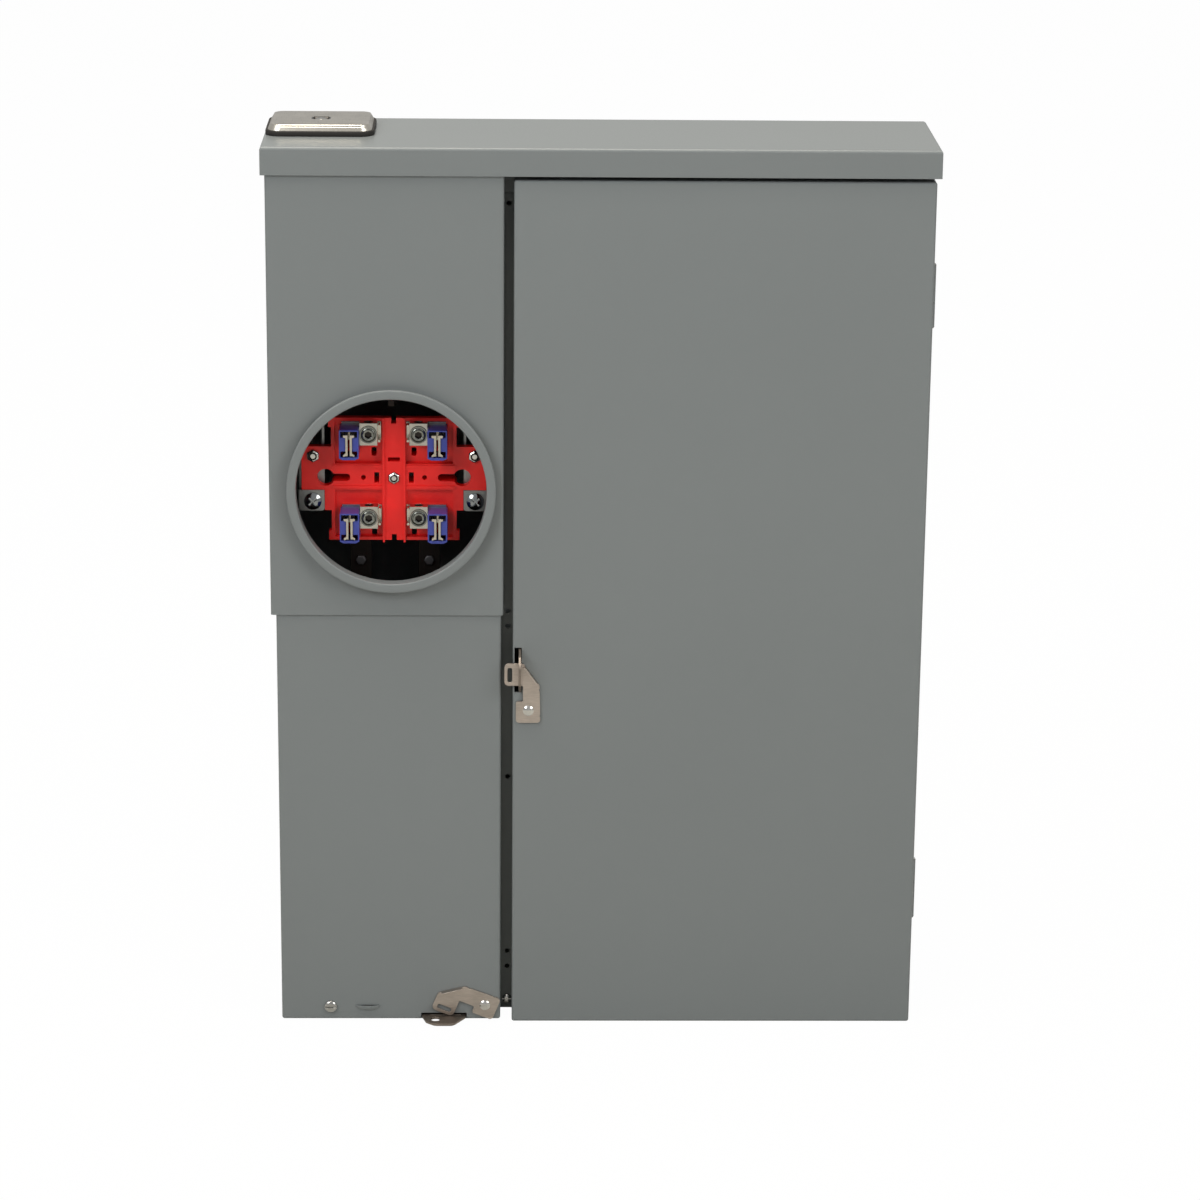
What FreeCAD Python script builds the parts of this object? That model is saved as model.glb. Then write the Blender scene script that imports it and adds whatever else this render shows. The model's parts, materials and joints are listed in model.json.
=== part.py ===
import FreeCAD, Part
import math
import os

from FreeCAD import Matrix, Vector

# Wall-mounted service box: a ring-type meter socket with its covers on the left, and a
# hinged door over a breaker panel on the right. Lengths are millimetres, angles degrees.
# X runs to the right and Z up. The wall is the plane Y = 0, and the origin is the centre of
# the four wall holes. A name ending in _f is a distance forward of the wall (Y = -_f), and
# a name ending in _down is a depth below the top of the cap.

# Closed box
overall_h = 776.8
overall_depth = 140.0
cap_w = 563.5
cap_overhang = 3.55
lip_h = 24.0
lip_gap = 1.0
sheet = 1.5
bend_r = 2.2
seat = 0.3
body_depth = 111.5
flange_w = 14.0
header_down = 42.0
header_shelf_f = 80.0
post_return = 18.0
post_foot_w = 14.0
post_drop = 2.9

# Wall holes and knockouts
wall_hole_in = 74.6
wall_hole_end = 58.4
wall_hole_r = 4.0
knockout_large_r = 43.0
knockout_mid_r = 31.0
knockout_small_r = 25.0
knockout_groove = 0.8
knockout_f = 46.0
side_knockout_up = 110.0
meter_knockout_shares = (0.406, 0.869)
panel_knockout_shares = (0.262, 0.624)

# Covers, door and centre post
meter_w = 197.9
door_gap = 3.5
post_gap = 8.2
post_left_over = 10.7
post_right_over = 15.1
split_down = 403.0
cover_overlap = 15.0
cover_tuck = 18.0
pull_inset_left = 4.4
pull_inset_right = 1.8
pull_short = 1.5
post_hole_downs = (51.5, 406.8, 420.4)
post_hole_ups = (219.4, 56.4, 42.0)
post_hole_r = 2.2
pull_screw_in = 42.8
pull_screw_up = 13.8
post_screw_in = 4.4
post_screw_up = 11.4
cover_thread_r = 2.4
louvre_w = 21.4
louvre_h = 4.6
louvre_rise = 2.5
louvre_skin = 0.8
louvre_in = 75.5
louvre_up = 14.7

# Meter ring and socket
ring_in = 103.3
ring_down = 292.2
ring_bore_r = 80.4
ring_neck_wall = 1.6
ring_lip_w = 7.9
ring_rise = 10.2
ring_lip_t = 3.6
ring_foot_r = 2.5
bond_w = 5.2
bond_high = 14.0
bond_foot = 9.0
bond_reach = 23.5
bond_behind = 8.0
socket_dx = 1.3
socket_dz = 1.5
block_w = 111.2
block_h = 107.4
block_t = 22.5
block_behind = 29.0
block_waist_in = 2.4
block_shoulder = 7.1
wing_reach = 78.5
wing_low = -9.5
wing_high = 28.5
wing_t = 8.0
hip_low = -27.5
spine_w = 15.9
rib_w = 1.7
rib_rise = 2.4
recess_t = 5.0
recess_rim = 5.4
recess_high_edge = 13.5
recess_low_edge = -9.4
recess_end_in = 2.7
oval_x = 17.0
oval_w = 4.4
oval_h = 7.6
oval_from_edge = 9.5
oval_from_end = 4.0
index_hole_x = 26.0
index_hole_r = 2.1
index_slot_x = 14.7
index_slot_w = 4.2
index_slot_h = 9.2
spine_slot_w = 10.2
spine_slot_h = 3.6
spine_slot_up = 17.3
end_notch_w = 4.2
end_notch_in = 5.0
jaw_dx = 37.3
jaw_dz = 36.5
jaw_drop = 1.2
jaw_plate_t = 3.0
jaw_reach = 29.0
jaw_h = 18.0
jaw_leaf_t = 1.8
jaw_gap = 1.8
jaw_flare = 2.0
guide_w = 16.6
guide_h = 26.0
guide_wall = 1.2
guide_pocket_h = 5.2
guide_depth = 24.5
lug_dx = 21.2
lug_rise = 6.7
lug_w = 15.2
lug_h = 19.2
lug_depth = 11.0
lug_bore_r = 3.9
lug_thread_r = 5.0
keyhole = (58.0, 1.4)
keyhole_r = 7.4
keyhole_slot_in = 40.4
keyhole_slot_w = 6.4
wing_screw = (68.6, 20.4)
leg_screw = (69.2, -19.6)
centre_screw_dz = 1.2
small_thread_r = 2.2
leg_thread_r = 2.6
leg_head_r = 7.4
wing_head_r = 5.1
centre_head_r = 4.8
long_thread = 16.0
short_thread = 12.0
leg_in = 59.3
leg_tab_w = 21.7
leg_t = 2.0
leg_high = 46.0
strap_dx = 29.4
strap_w = 18.0
strap_t = 3.0
strap_dz = 19.0
strap_bolt_r = 2.5
strap_bolt_down = 368.4

# Hub plate on the cap
hub_in = 47.15
hub_f = 54.5
hub_w = 87.0
hub_d = 73.0
hub_hole_r = 31.5
hub_corner_r = 11.0
hub_rise = 5.0
gasket_t = 4.4
gasket_proud = 2.2
hub_skin = 1.2
hub_shoulder_r = 3.2
hub_dimple = 2.6
hub_dimple_r = 8.4
hub_screw_head_r = 5.2
hub_screw_r = 3.0
hub_screw_in = 16.0
clamp_reach = 6.0
clamp_w = 18.0
clamp_t = 3.0
clamp_nut_h = 5.0

# Hinges
hinge_down = 129.0
hinge_up = 115.6
hinge_len = 54.0
knuckles = 5
barrel_r = 2.5
barrel_proud = 4.4
pin_r = 1.2
pin_gap = 0.06
hinge_behind_skirt = 2.9
leaf_t = 1.5
leaf_w = 22.0

# Latches and staples
latch_t = 2.0
latch_gap = 0.3
latch_left = 10.7
latch_right = 10.4
latch_foot = 11.0
latch_step = 8.2
latch_knee = 22.7
latch_reach = 42.4
latch_arm_left = 20.6
latch_arm_right = 4.6
latch_arm_low = 22.4
latch_lip_rise = 4.0
rivet_r = 3.0
rivet_gap = 0.08
rivet_head_r = 4.7
rivet_rise = 1.7
door_pivot_in = 13.5
door_pivot_down = 487.7
pull_pivot_in = 13.5
pull_pivot_up = 15.6
pull_latch_turn = 68.0
staple_w = 38.0
staple_t = 2.0
staple_reach = 20.6
staple_in = 5.1
staple_up = 36.0
staple_foot_w = 12.0
staple_tail = 26.0
staple_window = (-15.0, 12.4)
staple_window_t = 3.0
padlock_r = 4.3
padlock_side = 7.2

# Breaker panel
dead_gap = 2.0
dead_return = 10.0
rail_inset = 19.0
rail_flange = 16.0
rail_end = 16.0
dead_screw_in = 25.0
dead_screw_head_r = 4.6
breaker_pitch = 19.05
rows_down = 95.0
rows_above_main = 34.5
blank_w = 38.0
blank_dx = 36.0
gutter_w = 57.8
pan_t = 2.0
pan_rise = 14.0
base_w = 124.0
base_t = 20.0
bus_dx = 16.0
bus_w = 12.0
bus_t = 3.0
bus_plate_reach = 34.0
stab_dx = 28.0
main_up = 216.8
main_w = 92.0
main_h = 80.0
main_face_f = 104.0
main_shelf = 14.0
main_boss_rise = 1.5
handle_r = 12.0
handle_reach = 35.0
handle_tilt = 18.0
handle_w = 36.0
handle_t = 9.0
neutral_dx = 84.0
bar_w = 12.0
bar_screw_pitch = 12.7
bar_hole_r = 2.6
bar_end = 8.0
ground_in = 34.6
ground_below = 70.0
ground_above = 50.0

# Places worked out from the sizes above
top = overall_h / 2
bottom = top - overall_h
cap_half = cap_w / 2
front_half = cap_half - cap_overhang
cover_f = overall_depth - sheet - lip_gap
pull_f = cover_f - sheet - seat
body_f = body_depth
body_half = front_half - sheet - 2 * seat - leaf_t
cover_right = meter_w - front_half
door_left = cover_right + post_gap
pull_left = pull_inset_left - front_half
pull_right = cover_right - pull_inset_right
pull_bottom = bottom + pull_short
end_low = pull_bottom + sheet + 0.5 + staple_t
end_high = end_low + sheet
door_top = top - lip_h - door_gap
post_left = cover_right - post_left_over
post_right = door_left + post_right_over
ring_x = ring_in - front_half
ring_z = top - ring_down
socket_x = ring_x + socket_dx
socket_z = ring_z + socket_dz
block_f = cover_f - block_behind
recess_f = block_f - recess_t
jaw_seat_f = recess_f + jaw_plate_t
lug_seat_f = block_f + seat
lug_f = lug_seat_f + lug_depth
header_low = top - header_down
dead_left = post_right + dead_gap
dead_right = body_half - flange_w - dead_gap
dead_top = header_low - dead_gap
dead_low = end_high + flange_w + dead_gap
panel_x = (dead_left + dead_right) / 2
base_f = pan_rise + base_t
bus_f = base_f + bus_t
main_z = bottom + main_up
breaker_rows = int((top - rows_down - main_z - main_h / 2 - rows_above_main) / breaker_pitch)
pan_w = dead_right - dead_left - 2 * gutter_w
ground_x = body_half - ground_in
hub_x = hub_in - cap_half
hinge_zs = (top - hinge_down, bottom + hinge_up)
strap_f = block_f - block_t
strap_end_x = panel_x - main_w / 2 - main_shelf / 2
hinge_x = front_half + barrel_proud - barrel_r
hinge_f = body_f + seat - hinge_behind_skirt
staple_x = door_left + staple_in
door_pivot = (door_left + door_pivot_in, top - door_pivot_down)
pull_pivot = (pull_right - pull_pivot_in, bottom + pull_pivot_up)
pull_screw_at = (pull_left + pull_screw_in, bottom + pull_screw_up)
post_screw_at = (door_left - post_screw_in, bottom + post_screw_up)
louvre_at = (pull_left + louvre_in, bottom + louvre_up)


def box(x0, x1, f0, f1, z0, z1):
    """Block between two X planes, two distances forward of the wall and two heights."""
    return Part.makeBox(x1 - x0, f1 - f0, z1 - z0, Vector(x0, -f1, z0))


def rod_f(x, z, r, f0, f1):
    """Round bar that points forward."""
    return Part.makeCylinder(r, f1 - f0, Vector(x, -f1, z), Vector(0, 1, 0))


def rod_z(x, f, r, z0, z1):
    """Upright round bar."""
    return Part.makeCylinder(r, z1 - z0, Vector(x, -f, z0), Vector(0, 0, 1))


def fuse(shapes):
    return shapes[0].multiFuse(shapes[1:]).removeSplitter()


def on_front(u, v, f):
    return Vector(u, -f, v)


def rounded_face(corners, place):
    """Face from corners (u, v, radius): each corner is rounded by an arc of its radius."""
    starts, ends, arcs = [], [], []
    count = len(corners)
    for i, (u, v, radius) in enumerate(corners):
        here = Vector(u, v, 0)
        back = (Vector(*corners[i - 1][:2], 0) - here).normalize()
        ahead = (Vector(*corners[(i + 1) % count][:2], 0) - here).normalize()
        half = back.getAngle(ahead) / 2
        reach = radius / math.tan(half)
        centre = here + (back + ahead).normalize() * (radius / math.sin(half))
        middle = centre + (here - centre).normalize() * radius if radius else here
        starts.append(here + back * reach)
        ends.append(here + ahead * reach)
        arcs.append(middle)
    edges = []
    for i in range(count):
        if corners[i][2]:
            points = [place(p.x, p.y) for p in (starts[i], arcs[i], ends[i])]
            edges.append(Part.Arc(*points).toShape())
        follower = starts[(i + 1) % count]
        if ends[i].distanceToPoint(follower) > 1e-6:
            edges.append(Part.makeLine(place(ends[i].x, ends[i].y), place(follower.x, follower.y)))
    return Part.Face(Part.Wire(edges))


def plate(corners, f0, f1):
    """Flat plate parallel to the wall, with rounded corners."""
    return rounded_face(corners, lambda u, v: on_front(u, v, f1)).extrude(Vector(0, f1 - f0, 0))


def polygon(points, f0, f1):
    return plate([(u, v, 0) for u, v in points], f0, f1)


def tray(x0, x1, z0, z1, front, depth, open_sides=()):
    """Shallow folded pan that opens to the wall, with its bends and corners rounded."""
    outer = box(x0, x1, front - depth, front, z0, z1)
    folds = [e for e in outer.Edges if on_fold(e, front, x0, x1, z0, z1, open_sides)]
    outer = outer.makeFillet(bend_r, folds)
    far = 2 * sheet
    ix0 = x0 - far if "left" in open_sides else x0 + sheet
    ix1 = x1 + far if "right" in open_sides else x1 - sheet
    iz0 = z0 - far if "low" in open_sides else z0 + sheet
    iz1 = z1 + far if "high" in open_sides else z1 - sheet
    inner = box(ix0, ix1, front - depth - 1, front - sheet, iz0, iz1)
    folds = [e for e in inner.Edges if on_fold(e, front - sheet, ix0, ix1, iz0, iz1, open_sides)]
    inner = inner.makeFillet(bend_r - sheet, folds)
    return outer.cut(inner)


def on_fold(edge, front, x0, x1, z0, z1, open_sides):
    """True for an edge where a folded side of a block meets its front or another folded side."""
    near = 1e-3
    box_of = edge.BoundBox
    if box_of.YLength < near and abs(box_of.YMin + front) > near:
        return False
    sides = set()
    if box_of.XLength < near:
        sides.add("left" if abs(box_of.XMin - x0) < near else "right")
    if box_of.ZLength < near:
        sides.add("low" if abs(box_of.ZMin - z0) < near else "high")
    return not sides & set(open_sides)


def turned_screw(x, z, seat_f, head_r, head_h, shaft_r, shaft_len, drive):
    """Screw that points at the wall: its head is hexagonal, or round with a slot, a cross or plain."""
    head = rod_f(x, z, head_r, seat_f, seat_f + head_h)
    if drive == "hex_head":
        ring = [(x + head_r * math.cos(math.radians(a)), z + head_r * math.sin(math.radians(a)))
                for a in range(0, 360, 60)]
        head = polygon(ring, seat_f, seat_f + head_h)
    rim = [e for e in head.Edges if abs(e.BoundBox.YMin + seat_f + head_h) < 1e-3
           and abs(e.BoundBox.YMax + seat_f + head_h) < 1e-3]
    head = head.makeFillet(0.3 * head_h, rim)
    face = seat_f + head_h
    drive_w = 0.2 * head_r
    cut_f = face - 0.5 * head_h
    cuts = []
    if drive in ("slot", "cross"):
        reach = 2 * head_r if drive == "slot" else 0.6 * head_r
        cuts.append(box(x - reach, x + reach, cut_f, face + 1, z - drive_w / 2, z + drive_w / 2))
    if drive == "cross":
        cuts.append(box(x - drive_w / 2, x + drive_w / 2, cut_f, face + 1, z - reach, z + reach))
    if cuts:
        head = head.cut(cuts)
    return fuse([head, rod_f(x, z, shaft_r, seat_f - shaft_len, seat_f + 0.1)])


def knockout(centre, axis, r, into):
    """Thin ring groove that frees a round blank: a cut into the outer face of a wall."""
    depth = 0.6 * sheet
    start = centre - axis * 0.5
    disc = Part.makeCylinder(r, depth + 0.5, start, axis)
    core = Part.makeCylinder(r - knockout_groove, depth + 1.0, start, axis)
    return into.cut(disc.cut(core))


def back_pan():
    """Back and both sides folded from one sheet, with return flanges along the front."""
    outer = box(-body_half, body_half, 0, body_f, end_low, top - sheet)
    outer = outer.makeFillet(bend_r, [e for e in outer.Edges if e.BoundBox.ZLength > 1])
    inner = box(sheet - body_half, body_half - sheet, sheet, body_f - sheet, end_low - 1, top)
    inner = inner.makeFillet(bend_r - sheet, [e for e in inner.Edges if e.BoundBox.ZLength > 1])
    mouth_half = body_half - flange_w
    mouth = box(-mouth_half, mouth_half, body_f - 2 * sheet, body_f + 1, end_low - 1, top)
    pan = outer.cut([inner, mouth])
    hole_x = body_half - wall_hole_in
    hole_z = top - wall_hole_end
    spots = [(sx * hole_x, sz * hole_z) for sx in (-1, 1) for sz in (-1, 1)]
    pan = pan.cut([rod_f(x, z, wall_hole_r, -1, sheet + 1) for x, z in spots])
    for side in (-1, 1):
        centre = Vector(side * body_half, -body_f / 2, end_high + side_knockout_up)
        pan = knockout(centre, Vector(-side, 0, 0), knockout_mid_r, pan)
    return pan


def bottom_end():
    """Bottom wall with front flanges turned up on both sides of the centre post."""
    half = body_half - sheet
    floor = box(-half, half, sheet, body_f - sheet, end_low, end_high)
    floor = floor.makeFillet(bend_r - sheet, [e for e in floor.Edges if e.BoundBox.ZLength > sheet / 2])
    flange_x = body_half - flange_w - seat
    high = end_high + flange_w
    left = box(-flange_x, post_left - seat, body_f - sheet, body_f, end_low, high)
    right = box(post_right + seat, flange_x, body_f - sheet, body_f, end_low, high)
    wall = fuse([floor, left, right])
    places = [share * (post_left + body_half) - body_half for share in meter_knockout_shares]
    places += [share * (body_half - post_right) + post_right for share in panel_knockout_shares]
    for x, r in zip(places, (knockout_large_r, knockout_small_r, knockout_mid_r, knockout_large_r)):
        f = knockout_f + knockout_large_r - r
        wall = knockout(Vector(x, -f, end_low), Vector(0, 0, 1), r, wall)
    return wall.cut(rod_f(*pull_screw_at, cover_thread_r, body_f - 2 * sheet, body_f + 1))


def top_cap():
    """Top sheet with a drip lip along its front and both ends."""
    outer = box(-cap_half, cap_half, 0, overall_depth, top - lip_h, top)
    inner = box(sheet - cap_half, cap_half - sheet, -1, overall_depth - sheet, top - lip_h - 1, top - sheet)
    outer = outer.makeFillet(2 * sheet, roof_folds(outer, top, -overall_depth))
    inner = inner.makeFillet(sheet, roof_folds(inner, top - sheet, sheet - overall_depth))
    cap = outer.cut([inner, rod_z(hub_x, hub_f, hub_hole_r, top - 2 * sheet, top + 1)])
    seams = []
    for side in (-1, 1):
        x = side * (cap_half - sheet / 2)
        f = overall_depth - 1.5 * sheet
        seams.append(box(x - sheet, x + sheet, f - 0.5, f, top - lip_h - 1, top - 3 * sheet))
    return cap.cut(seams)


def roof_folds(shape, height, front_y):
    """Edges of a block's top along its front and both ends."""
    near = 1e-3
    folds = []
    for edge in shape.Edges:
        around = edge.BoundBox
        if abs(around.ZMin - height) > near or around.ZLength > near:
            continue
        if around.YLength > near or abs(around.YMin - front_y) < near:
            folds.append(edge)
    return folds


def door_header():
    """Folded angle under the cap that closes the front above the door and the covers."""
    half = body_half - flange_w - seat
    face = box(-half, half, body_f - sheet, body_f, header_low, top - sheet)
    shelf = box(-half, half, header_shelf_f, body_f - sheet, top - 2 * sheet, top - sheet)
    return fuse([face, shelf])


def centre_post():
    """Folded post between the sections: face, short left return and deep right divider."""
    low = end_high
    face_top = header_low - seat
    face = box(post_left, post_right, body_f - sheet, body_f, end_low - post_drop, face_top)
    lip = box(post_left, post_left + sheet, body_f - post_return, body_f, low, face_top)
    web_top = top - 2 * sheet - seat
    web = box(post_right - sheet, post_right, sheet, body_f - sheet, low, web_top)
    foot = box(post_right - sheet, post_right + post_foot_w, sheet, 2 * sheet, low, web_top)
    post = fuse([face, lip, web, foot])
    reach = strap_dz + strap_w / 2 + 4
    window = box(post_right - 2 * sheet, post_right + 1, strap_f - 3 * strap_t, strap_f + 2 * strap_t,
                 main_z - reach, main_z + reach)
    zs = [top - down for down in post_hole_downs] + [bottom + up for up in post_hole_ups]
    holes = [rod_f((cover_right + door_left) / 2, z, post_hole_r, body_f - 3, body_f + 1) for z in zs]
    holes.append(rod_f(*post_screw_at, cover_thread_r, body_f - 2 * sheet, body_f + 1))
    return post.cut([window] + holes)


def meter_ring():
    """Drawn neck and rolled lip of the meter opening, turned about the opening's axis."""
    lip_f = cover_f + ring_rise
    under_f = lip_f - ring_lip_t
    edge_r = 0.8
    back_f = cover_f - sheet
    outer_r = ring_bore_r + ring_lip_w
    neck_r = ring_bore_r + ring_neck_wall
    crown_r = ring_bore_r + ring_lip_w / 2

    def at(r, f):
        return Vector(ring_x + r, -f, ring_z)

    foot_r = neck_r + ring_foot_r
    foot_mid = ring_foot_r * (1 - math.sqrt(0.5))
    rolled_r = outer_r - 0.5
    foot = Part.Arc(at(foot_r, cover_f), at(neck_r + foot_mid, cover_f + foot_mid),
                    at(neck_r, cover_f + ring_foot_r))
    rim = Part.Arc(at(outer_r - edge_r, under_f), at(outer_r, under_f + edge_r), at(rolled_r, under_f + 1.8))
    crown = Part.Arc(at(rolled_r, under_f + 1.8), at(crown_r, lip_f), at(ring_bore_r, under_f + 1.4))
    edges = [
        Part.makeLine(at(ring_bore_r, back_f), at(foot_r, back_f)),
        Part.makeLine(at(foot_r, back_f), at(foot_r, cover_f)),
        foot.toShape(),
        Part.makeLine(at(neck_r, cover_f + ring_foot_r), at(neck_r, under_f)),
        Part.makeLine(at(neck_r, under_f), at(outer_r - edge_r, under_f)),
        rim.toShape(),
        crown.toShape(),
        Part.makeLine(at(ring_bore_r, under_f + 1.4), at(ring_bore_r, back_f)),
    ]
    face = Part.Face(Part.Wire(edges))
    return face.revolve(Vector(ring_x, 0, ring_z), Vector(0, 1, 0), 360)


def meter_cover():
    """Upper left cover: side skirts, drawn ring, and a plain lower edge over the pull cover."""
    depth = cover_f - body_f - seat
    high = top - lip_h + cover_tuck
    shell = tray(-front_half, cover_right, top - split_down, high, cover_f, depth, ("low", "high"))
    opening_r = ring_bore_r + ring_neck_wall + ring_foot_r
    opening = rod_f(ring_x, ring_z, opening_r, cover_f - 2 * sheet, cover_f + 1)
    return fuse([shell.cut(opening), meter_ring()])


def bonding_strip():
    """Spring strip behind the top of the ring that touches the meter's base."""
    x0 = ring_x - bond_w / 2
    x1 = ring_x + bond_w / 2
    high = ring_z + ring_bore_r + bond_high
    bend = high - bond_foot
    tongue_f = cover_f - bond_behind
    foot = box(x0, x1, cover_f - 2 * sheet, cover_f - sheet, bend, high)
    tongue = box(x0, x1, tongue_f, tongue_f + sheet, high - bond_reach, bend + sheet)
    step = box(x0, x1, tongue_f, cover_f - sheet, bend, bend + sheet)
    return fuse([foot, step, tongue])


def louvre(grow):
    """Egg whose lower front quarter bulges from the pull cover; grow makes it larger or smaller."""
    egg = Part.makeSphere(1.0)
    size = Matrix()
    size.A11 = louvre_w / 2 + grow
    size.A22 = louvre_rise + grow
    size.A33 = louvre_h + grow
    egg = egg.transformGeometry(size)
    egg.translate(on_front(*louvre_at, pull_f))
    return egg


def pull_cover():
    """Lower left cover: three skirts, a latch slot, a louvre and a screw hole."""
    depth = pull_f - body_f - seat
    high = top - split_down + cover_overlap
    shell = tray(pull_left, pull_right, pull_bottom, high, pull_f, depth, ("high",))
    reach = louvre_w
    x, level = louvre_at
    lower = box(x - reach, x + reach, pull_f - sheet / 2, pull_f + reach, level - reach, level)
    shell = fuse([shell, louvre(0).common(lower)])
    vent = louvre(-louvre_skin)
    vent = vent.common(box(x - reach, x + reach, pull_f - 9, pull_f + 9, level - reach, level + 0.1))
    sx = staple_centre_x()
    half = staple_w / 2 + 1
    slot = box(sx - half, sx + half, pull_f - sheet - 1, pull_f + 1, pull_bottom + sheet, end_low + 2)
    hole = rod_f(*pull_screw_at, cover_thread_r, pull_f - 2 * sheet, pull_f + 1)
    rivet = rod_f(*pull_pivot, rivet_r, pull_f - 3, pull_f + 1)
    return shell.cut([vent, slot, hole, rivet])


def door_panel():
    """Door: a pan with four skirts, with a slot beside its left skirt for the staple."""
    depth = cover_f - body_f - seat
    shell = tray(door_left, front_half, bottom, door_top, cover_f, depth)
    zc = door_pivot[1] + staple_up
    half = staple_w / 2 + 1
    x0 = door_left + sheet
    x1 = staple_x + staple_t + 2 * seat
    notch = box(x0, x1, cover_f - 2 * sheet, cover_f + 1, zc - half, zc + half)
    rivet = rod_f(*door_pivot, rivet_r, cover_f - 3, cover_f + 1)
    return shell.cut([notch, rivet])


def hub_outline(grow):
    half_w = hub_w / 2 + grow
    half_d = hub_d / 2 + grow
    r = hub_corner_r + grow
    return [(hub_x - half_w, -hub_f - half_d, r), (hub_x + half_w, -hub_f - half_d, r),
            (hub_x + half_w, -hub_f + half_d, r), (hub_x - half_w, -hub_f + half_d, r)]


def hub_slab(grow, z0, z1):
    face = rounded_face(hub_outline(grow), lambda u, v: Vector(u, v, z0))
    return face.extrude(Vector(0, 0, z1 - z0))


def hub_plate():
    """Stamped cover with rounded edges, hollow below, dimpled around its screw."""
    low = top + gasket_t
    high = low + hub_rise
    outer = hub_slab(0, low, high)
    outer = outer.makeFillet(hub_shoulder_r, [e for e in outer.Edges if e.BoundBox.ZMin > high - 1e-3])
    inner = hub_slab(-hub_skin, low - 1, high - hub_skin)
    folds = [e for e in inner.Edges if e.BoundBox.ZMin > high - hub_skin - 1e-3]
    inner = inner.makeFillet(hub_shoulder_r - hub_skin, folds)
    post = rod_z(hub_x, hub_f, hub_dimple_r + 3, low, high)
    seat_at = Vector(hub_x, -hub_f, high - hub_dimple)
    cone = Part.makeCone(hub_screw_head_r + 0.6, hub_dimple_r, hub_dimple, seat_at, Vector(0, 0, 1))
    plate_shape = outer.cut(inner.cut(post))
    return plate_shape.cut([cone, rod_z(hub_x, hub_f, hub_screw_r, low - 1, high + 1)])


def hub_gasket():
    ring = hub_slab(gasket_proud, top, top + gasket_t)
    return ring.cut(hub_slab(-9, top - 1, top + gasket_t + 1))


def hub_screw():
    """Round-head screw that pulls the hub plate down onto its clamp bar."""
    seat_z = top + gasket_t + hub_rise - hub_dimple
    ball_r = hub_screw_head_r * 1.3
    head = Part.makeSphere(ball_r, Vector(hub_x, -hub_f, seat_z + 3.0 - ball_r))
    head = head.common(rod_z(hub_x, hub_f, hub_screw_head_r, seat_z, seat_z + 4))
    shaft = rod_z(hub_x, hub_f, hub_screw_r, top - hub_screw_in, seat_z + 0.1)
    slot = box(hub_x - 9, hub_x + 9, hub_f - 0.7, hub_f + 0.7, seat_z + 1.6, seat_z + 6)
    return fuse([head, shaft]).cut(slot)


def hub_clamp_bar():
    low = top - sheet - clamp_t
    reach = hub_hole_r + clamp_reach
    half = clamp_w / 2
    bar = box(hub_x - reach, hub_x + reach, hub_f - half, hub_f + half, low, top - sheet)
    nut = rod_z(hub_x, hub_f, 2 * hub_screw_r, low - clamp_nut_h, low)
    return fuse([bar, nut]).cut(rod_z(hub_x, hub_f, hub_screw_r, low - clamp_nut_h - 1, top))


def hinge_leaf(zc, side):
    """Leaf of a butt hinge with its share of the knuckles; side is box or door."""
    pitch = hinge_len / knuckles
    low = zc - hinge_len / 2
    mine = 0 if side == "box" else 1
    wrap_r = barrel_r + 0.5
    bore_r = pin_r if side == "box" else pin_r + pin_gap
    if side == "box":
        x0 = body_half
        leaf = box(x0, x0 + leaf_t, hinge_f - leaf_w, hinge_f - barrel_r, low, low + hinge_len)
    else:
        x0 = front_half - sheet - leaf_t
        leaf = box(x0, x0 + leaf_t, hinge_f + wrap_r, hinge_f + leaf_w, low, low + hinge_len)
    pieces = [leaf]
    cuts = []
    for k in range(knuckles):
        z0 = low + k * pitch + seat / 2
        z1 = low + (k + 1) * pitch - seat / 2
        if k % 2 == mine:
            pieces.append(rod_z(hinge_x, hinge_f, barrel_r, z0, z1))
            f0 = hinge_f - barrel_r if side == "box" else hinge_f + barrel_r - leaf_t
            pieces.append(box(x0, hinge_x, f0, f0 + leaf_t, z0, z1))
            if side == "door":
                pieces.append(box(x0, x0 + leaf_t, f0, hinge_f + wrap_r, z0, z1))
        else:
            cuts.append(rod_z(hinge_x, hinge_f, wrap_r, z0 - seat, z1 + seat))
    cuts.append(rod_z(hinge_x, hinge_f, bore_r, low - 1, low + hinge_len + 1))
    return fuse(pieces).cut(cuts)


def hinge_pins():
    pins = []
    for zc in hinge_zs:
        half = hinge_len / 2
        pin = rod_z(hinge_x, hinge_f, pin_r, zc - half - 0.8, zc + half + 0.8)
        heads = [rod_z(hinge_x, hinge_f, 2.0, zc + half, zc + half + 0.9),
                 rod_z(hinge_x, hinge_f, 2.0, zc - half - 0.9, zc - half)]
        pins.append(fuse([pin] + heads))
    return Part.makeCompound(pins)


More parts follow.
